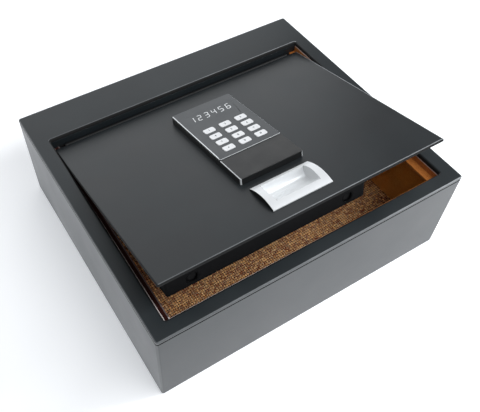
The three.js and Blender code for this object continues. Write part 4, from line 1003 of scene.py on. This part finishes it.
def screwHead():
    # polar grid over the head: a dome, with a cross cut by two soft-walled channels; z runs outwards
    s = screwLook
    radius = spans((0.02, 2.2, 16), (2.4, s["head"], 6))
    gr, ga = np.meshgrid(radius, fullTurn(s["sides"]), indexing="ij")
    x, y = gr * np.cos(ga), gr * np.sin(ga)
    dome = s["height"] - s["crown"] * (gr / s["head"]) ** 3
    arm, reach = np.minimum(np.abs(x), np.abs(y)), np.maximum(np.abs(x), np.abs(y))
    inArm = 1 / (1 + np.exp((arm - s["slot"]) / s["side"]))
    inCross = inArm / (1 + np.exp((reach - s["reach"]) / s["end"]))
    return np.stack([x, y, dome - s["sunk"] * inCross], -1)


def screwParts(origin, outward, along, grip):
    # the head's grid, then its rim and shank, set on a frame of three directions
    s = screwLook
    head, shank, under, rim = s["head"], s["shank"], s["under"], s["height"] - s["crown"] - s["edge"]
    outline = [(head, rim), (head, under), (shank, under), (shank, -grip)]
    rows = np.concatenate([screwHead(), spun(outline, (0, 0), s["sides"], "z")])
    return loft(origin + rows @ np.array([along, np.cross(outward, along), outward]))


screwSets = {"cover": 4, "lid_leaf": 2, "frame_leaf": 2}
screwNames = ["%s_screw_%d" % (stem, i + 1) for stem, count in screwSets.items() for i in range(count)]
for number, nodeName in enumerate(screwNames):
    onLid = not nodeName.startswith("frame")
    low, high = shutBox(nodeName) if onLid else restBox(nodeName)
    outward = np.array([0, 0, -1] if onLid else [0, -1, 0])
    grip = abs(np.dot(high - low, outward)) - screwLook["height"]
    origin = (low + high) / 2 + outward * (grip - screwLook["height"]) / 2
    turn = 0.4 + number * 1.3    # each cross stands at its own angle
    along = np.array([math.cos(turn), math.sin(turn), 0] if onLid else [math.cos(turn), 0, math.sin(turn)])
    makePiece(nodeName.replace("_", "") + "Head", [screwParts(origin, outward, along, grip)], "hingeSteel",
              "lid" if onLid else "casing", [nodeName])
print("screws done")


# carried-over pieces inside the lock

inner = {
    "zincSteel": "hinge_pin bolt_carriage carriage_pin_1 carriage_pin_2 gear_motor motor_bracket "
               "handle_nut_left handle_nut_right",
    "machinedBrass": "drive_pinion",
    "blackMoulding": "battery_holder",
    "cellJacket": "battery_1 battery_2 battery_3 battery_4",
    "boardGreen": "lock_board keypad_board",
    "foamBlack": "board_pad",
    "siliconeGrey": "key_mat",
}
for material, names in inner.items():
    for nodeName in names.split():
        mesh = nodes[nodeName].data
        mesh.materials.clear()
        mesh.materials.append(bpy.data.materials[material])
print("inner pieces done")


# stage, light and camera

stageLook = {"half": 1.6, "rim": 3.2, "rise": 0.85, "sides": 64, "albedo": 0.92, "rough": 0.9,
             "tint": (0.9, 0.94, 1, 1), "lift": 0.36, "gloss": 0.62, "ambient": 0.3}
panelLooks = {
    "backPanel": {"at": (-0.02, 1.0, 0.78), "towards": (-0.02, 0, 0.78), "size": (1.85, 1.3), "glow": 1.0},
    "frontKey": {"at": (0.25, -0.62, 1.16), "towards": (0, -0.05, 0.1), "size": (1.0, 0.26), "glow": 9.5},
    "viewFill": {"at": (-0.55, -0.62, 1.1), "towards": (0.05, -0.05, 0.08), "size": (0.3, 0.3), "glow": 3.5},
    "rightStrip": {"at": (1.15, -0.5, 0.9), "towards": (0.25, -0.3, 0), "size": (0.25, 0.8), "glow": 19.0},
}
panelColour = (0.95, 0.975, 1.0)
cameraLook = {"at": (-0.29745, -0.41462, 0.66246), "turn": (37.108, -0.467, -31.606), "lens": 46.608,
              "sensor": 36, "shift": (0.0704, 0.0212), "clip": (0.02, 20)}


def stageFloor():
    # a disc that curves up far off into a low rim: its height grows with the square of the way past
    # its flat part
    s = stageLook
    radius = np.append([0.01, 0.5, 1.0], np.linspace(s["half"], s["rim"], 14))
    gr, ga = np.meshgrid(radius, fullTurn(s["sides"]), indexing="ij")
    past = np.clip((gr - s["half"]) / (s["rim"] - s["half"]), 0, 1)
    rows = np.stack([gr * np.cos(ga), gr * np.sin(ga), s["rise"] * past ** 2], -1)
    points, faces = loft(rows[::-1])
    mesh = bpy.data.meshes.new("floor")
    mesh.from_pydata(points.tolist(), [], faces[:-2] + faces[-1:])
    mesh.shade_smooth()
    tree, shader = newMaterial("floorWhite")
    mesh.materials.append(bpy.data.materials["floorWhite"])
    seen = add(tree, "LightPath").outputs
    mirrored = maths(tree, "MAXIMUM", seen["Is Glossy Ray"], seen["Is Transmission Ray"])
    lift, gloss = times(tree, seen["Is Camera Ray"], s["lift"]), times(tree, mirrored, s["gloss"])
    setInputs(shader, {"Base Color": (s["albedo"], s["albedo"], s["albedo"], 1), "Roughness": s["rough"],
                       "Emission Color": s["tint"], "Emission Strength": maths(tree, "MAXIMUM", lift, gloss)})
    newObject("floor", mesh)


def skyLight():
    world = bpy.data.worlds.new("studio")
    bpy.context.scene.world = world
    world.use_nodes = True
    setInputs(world.node_tree.nodes["Background"], {"Color": (1, 1, 1, 1), "Strength": stageLook["ambient"]})


def softPanel(name, look):
    # a soft panel: its power follows from how bright its face is
    light = bpy.data.lights.new(name, "AREA")
    light.shape = "RECTANGLE"
    light.size, light.size_y = look["size"]
    light.energy = look["glow"] * math.pi * light.size * light.size_y
    light.color = panelColour
    lamp = newObject(name, light)
    lamp.location = look["at"]
    lamp.rotation_euler = (Vector(look["towards"]) - lamp.location).to_track_quat("-Z", "Y").to_euler()


def addCamera():
    look, lens = cameraLook, bpy.data.cameras.new("camera")
    lens.sensor_width, lens.lens = look["sensor"], look["lens"]
    lens.shift_x, lens.shift_y = look["shift"]
    lens.clip_start, lens.clip_end = look["clip"]
    camera = newObject("camera", lens)
    camera.location = look["at"]
    camera.rotation_euler = [math.radians(angle) for angle in look["turn"]]
    bpy.context.scene.camera = camera


stageFloor()
skyLight()
for name, look in panelLooks.items():
    softPanel(name, look)
addCamera()
bpy.context.scene.view_settings.view_transform = "Standard"
print("stage, light and camera done")
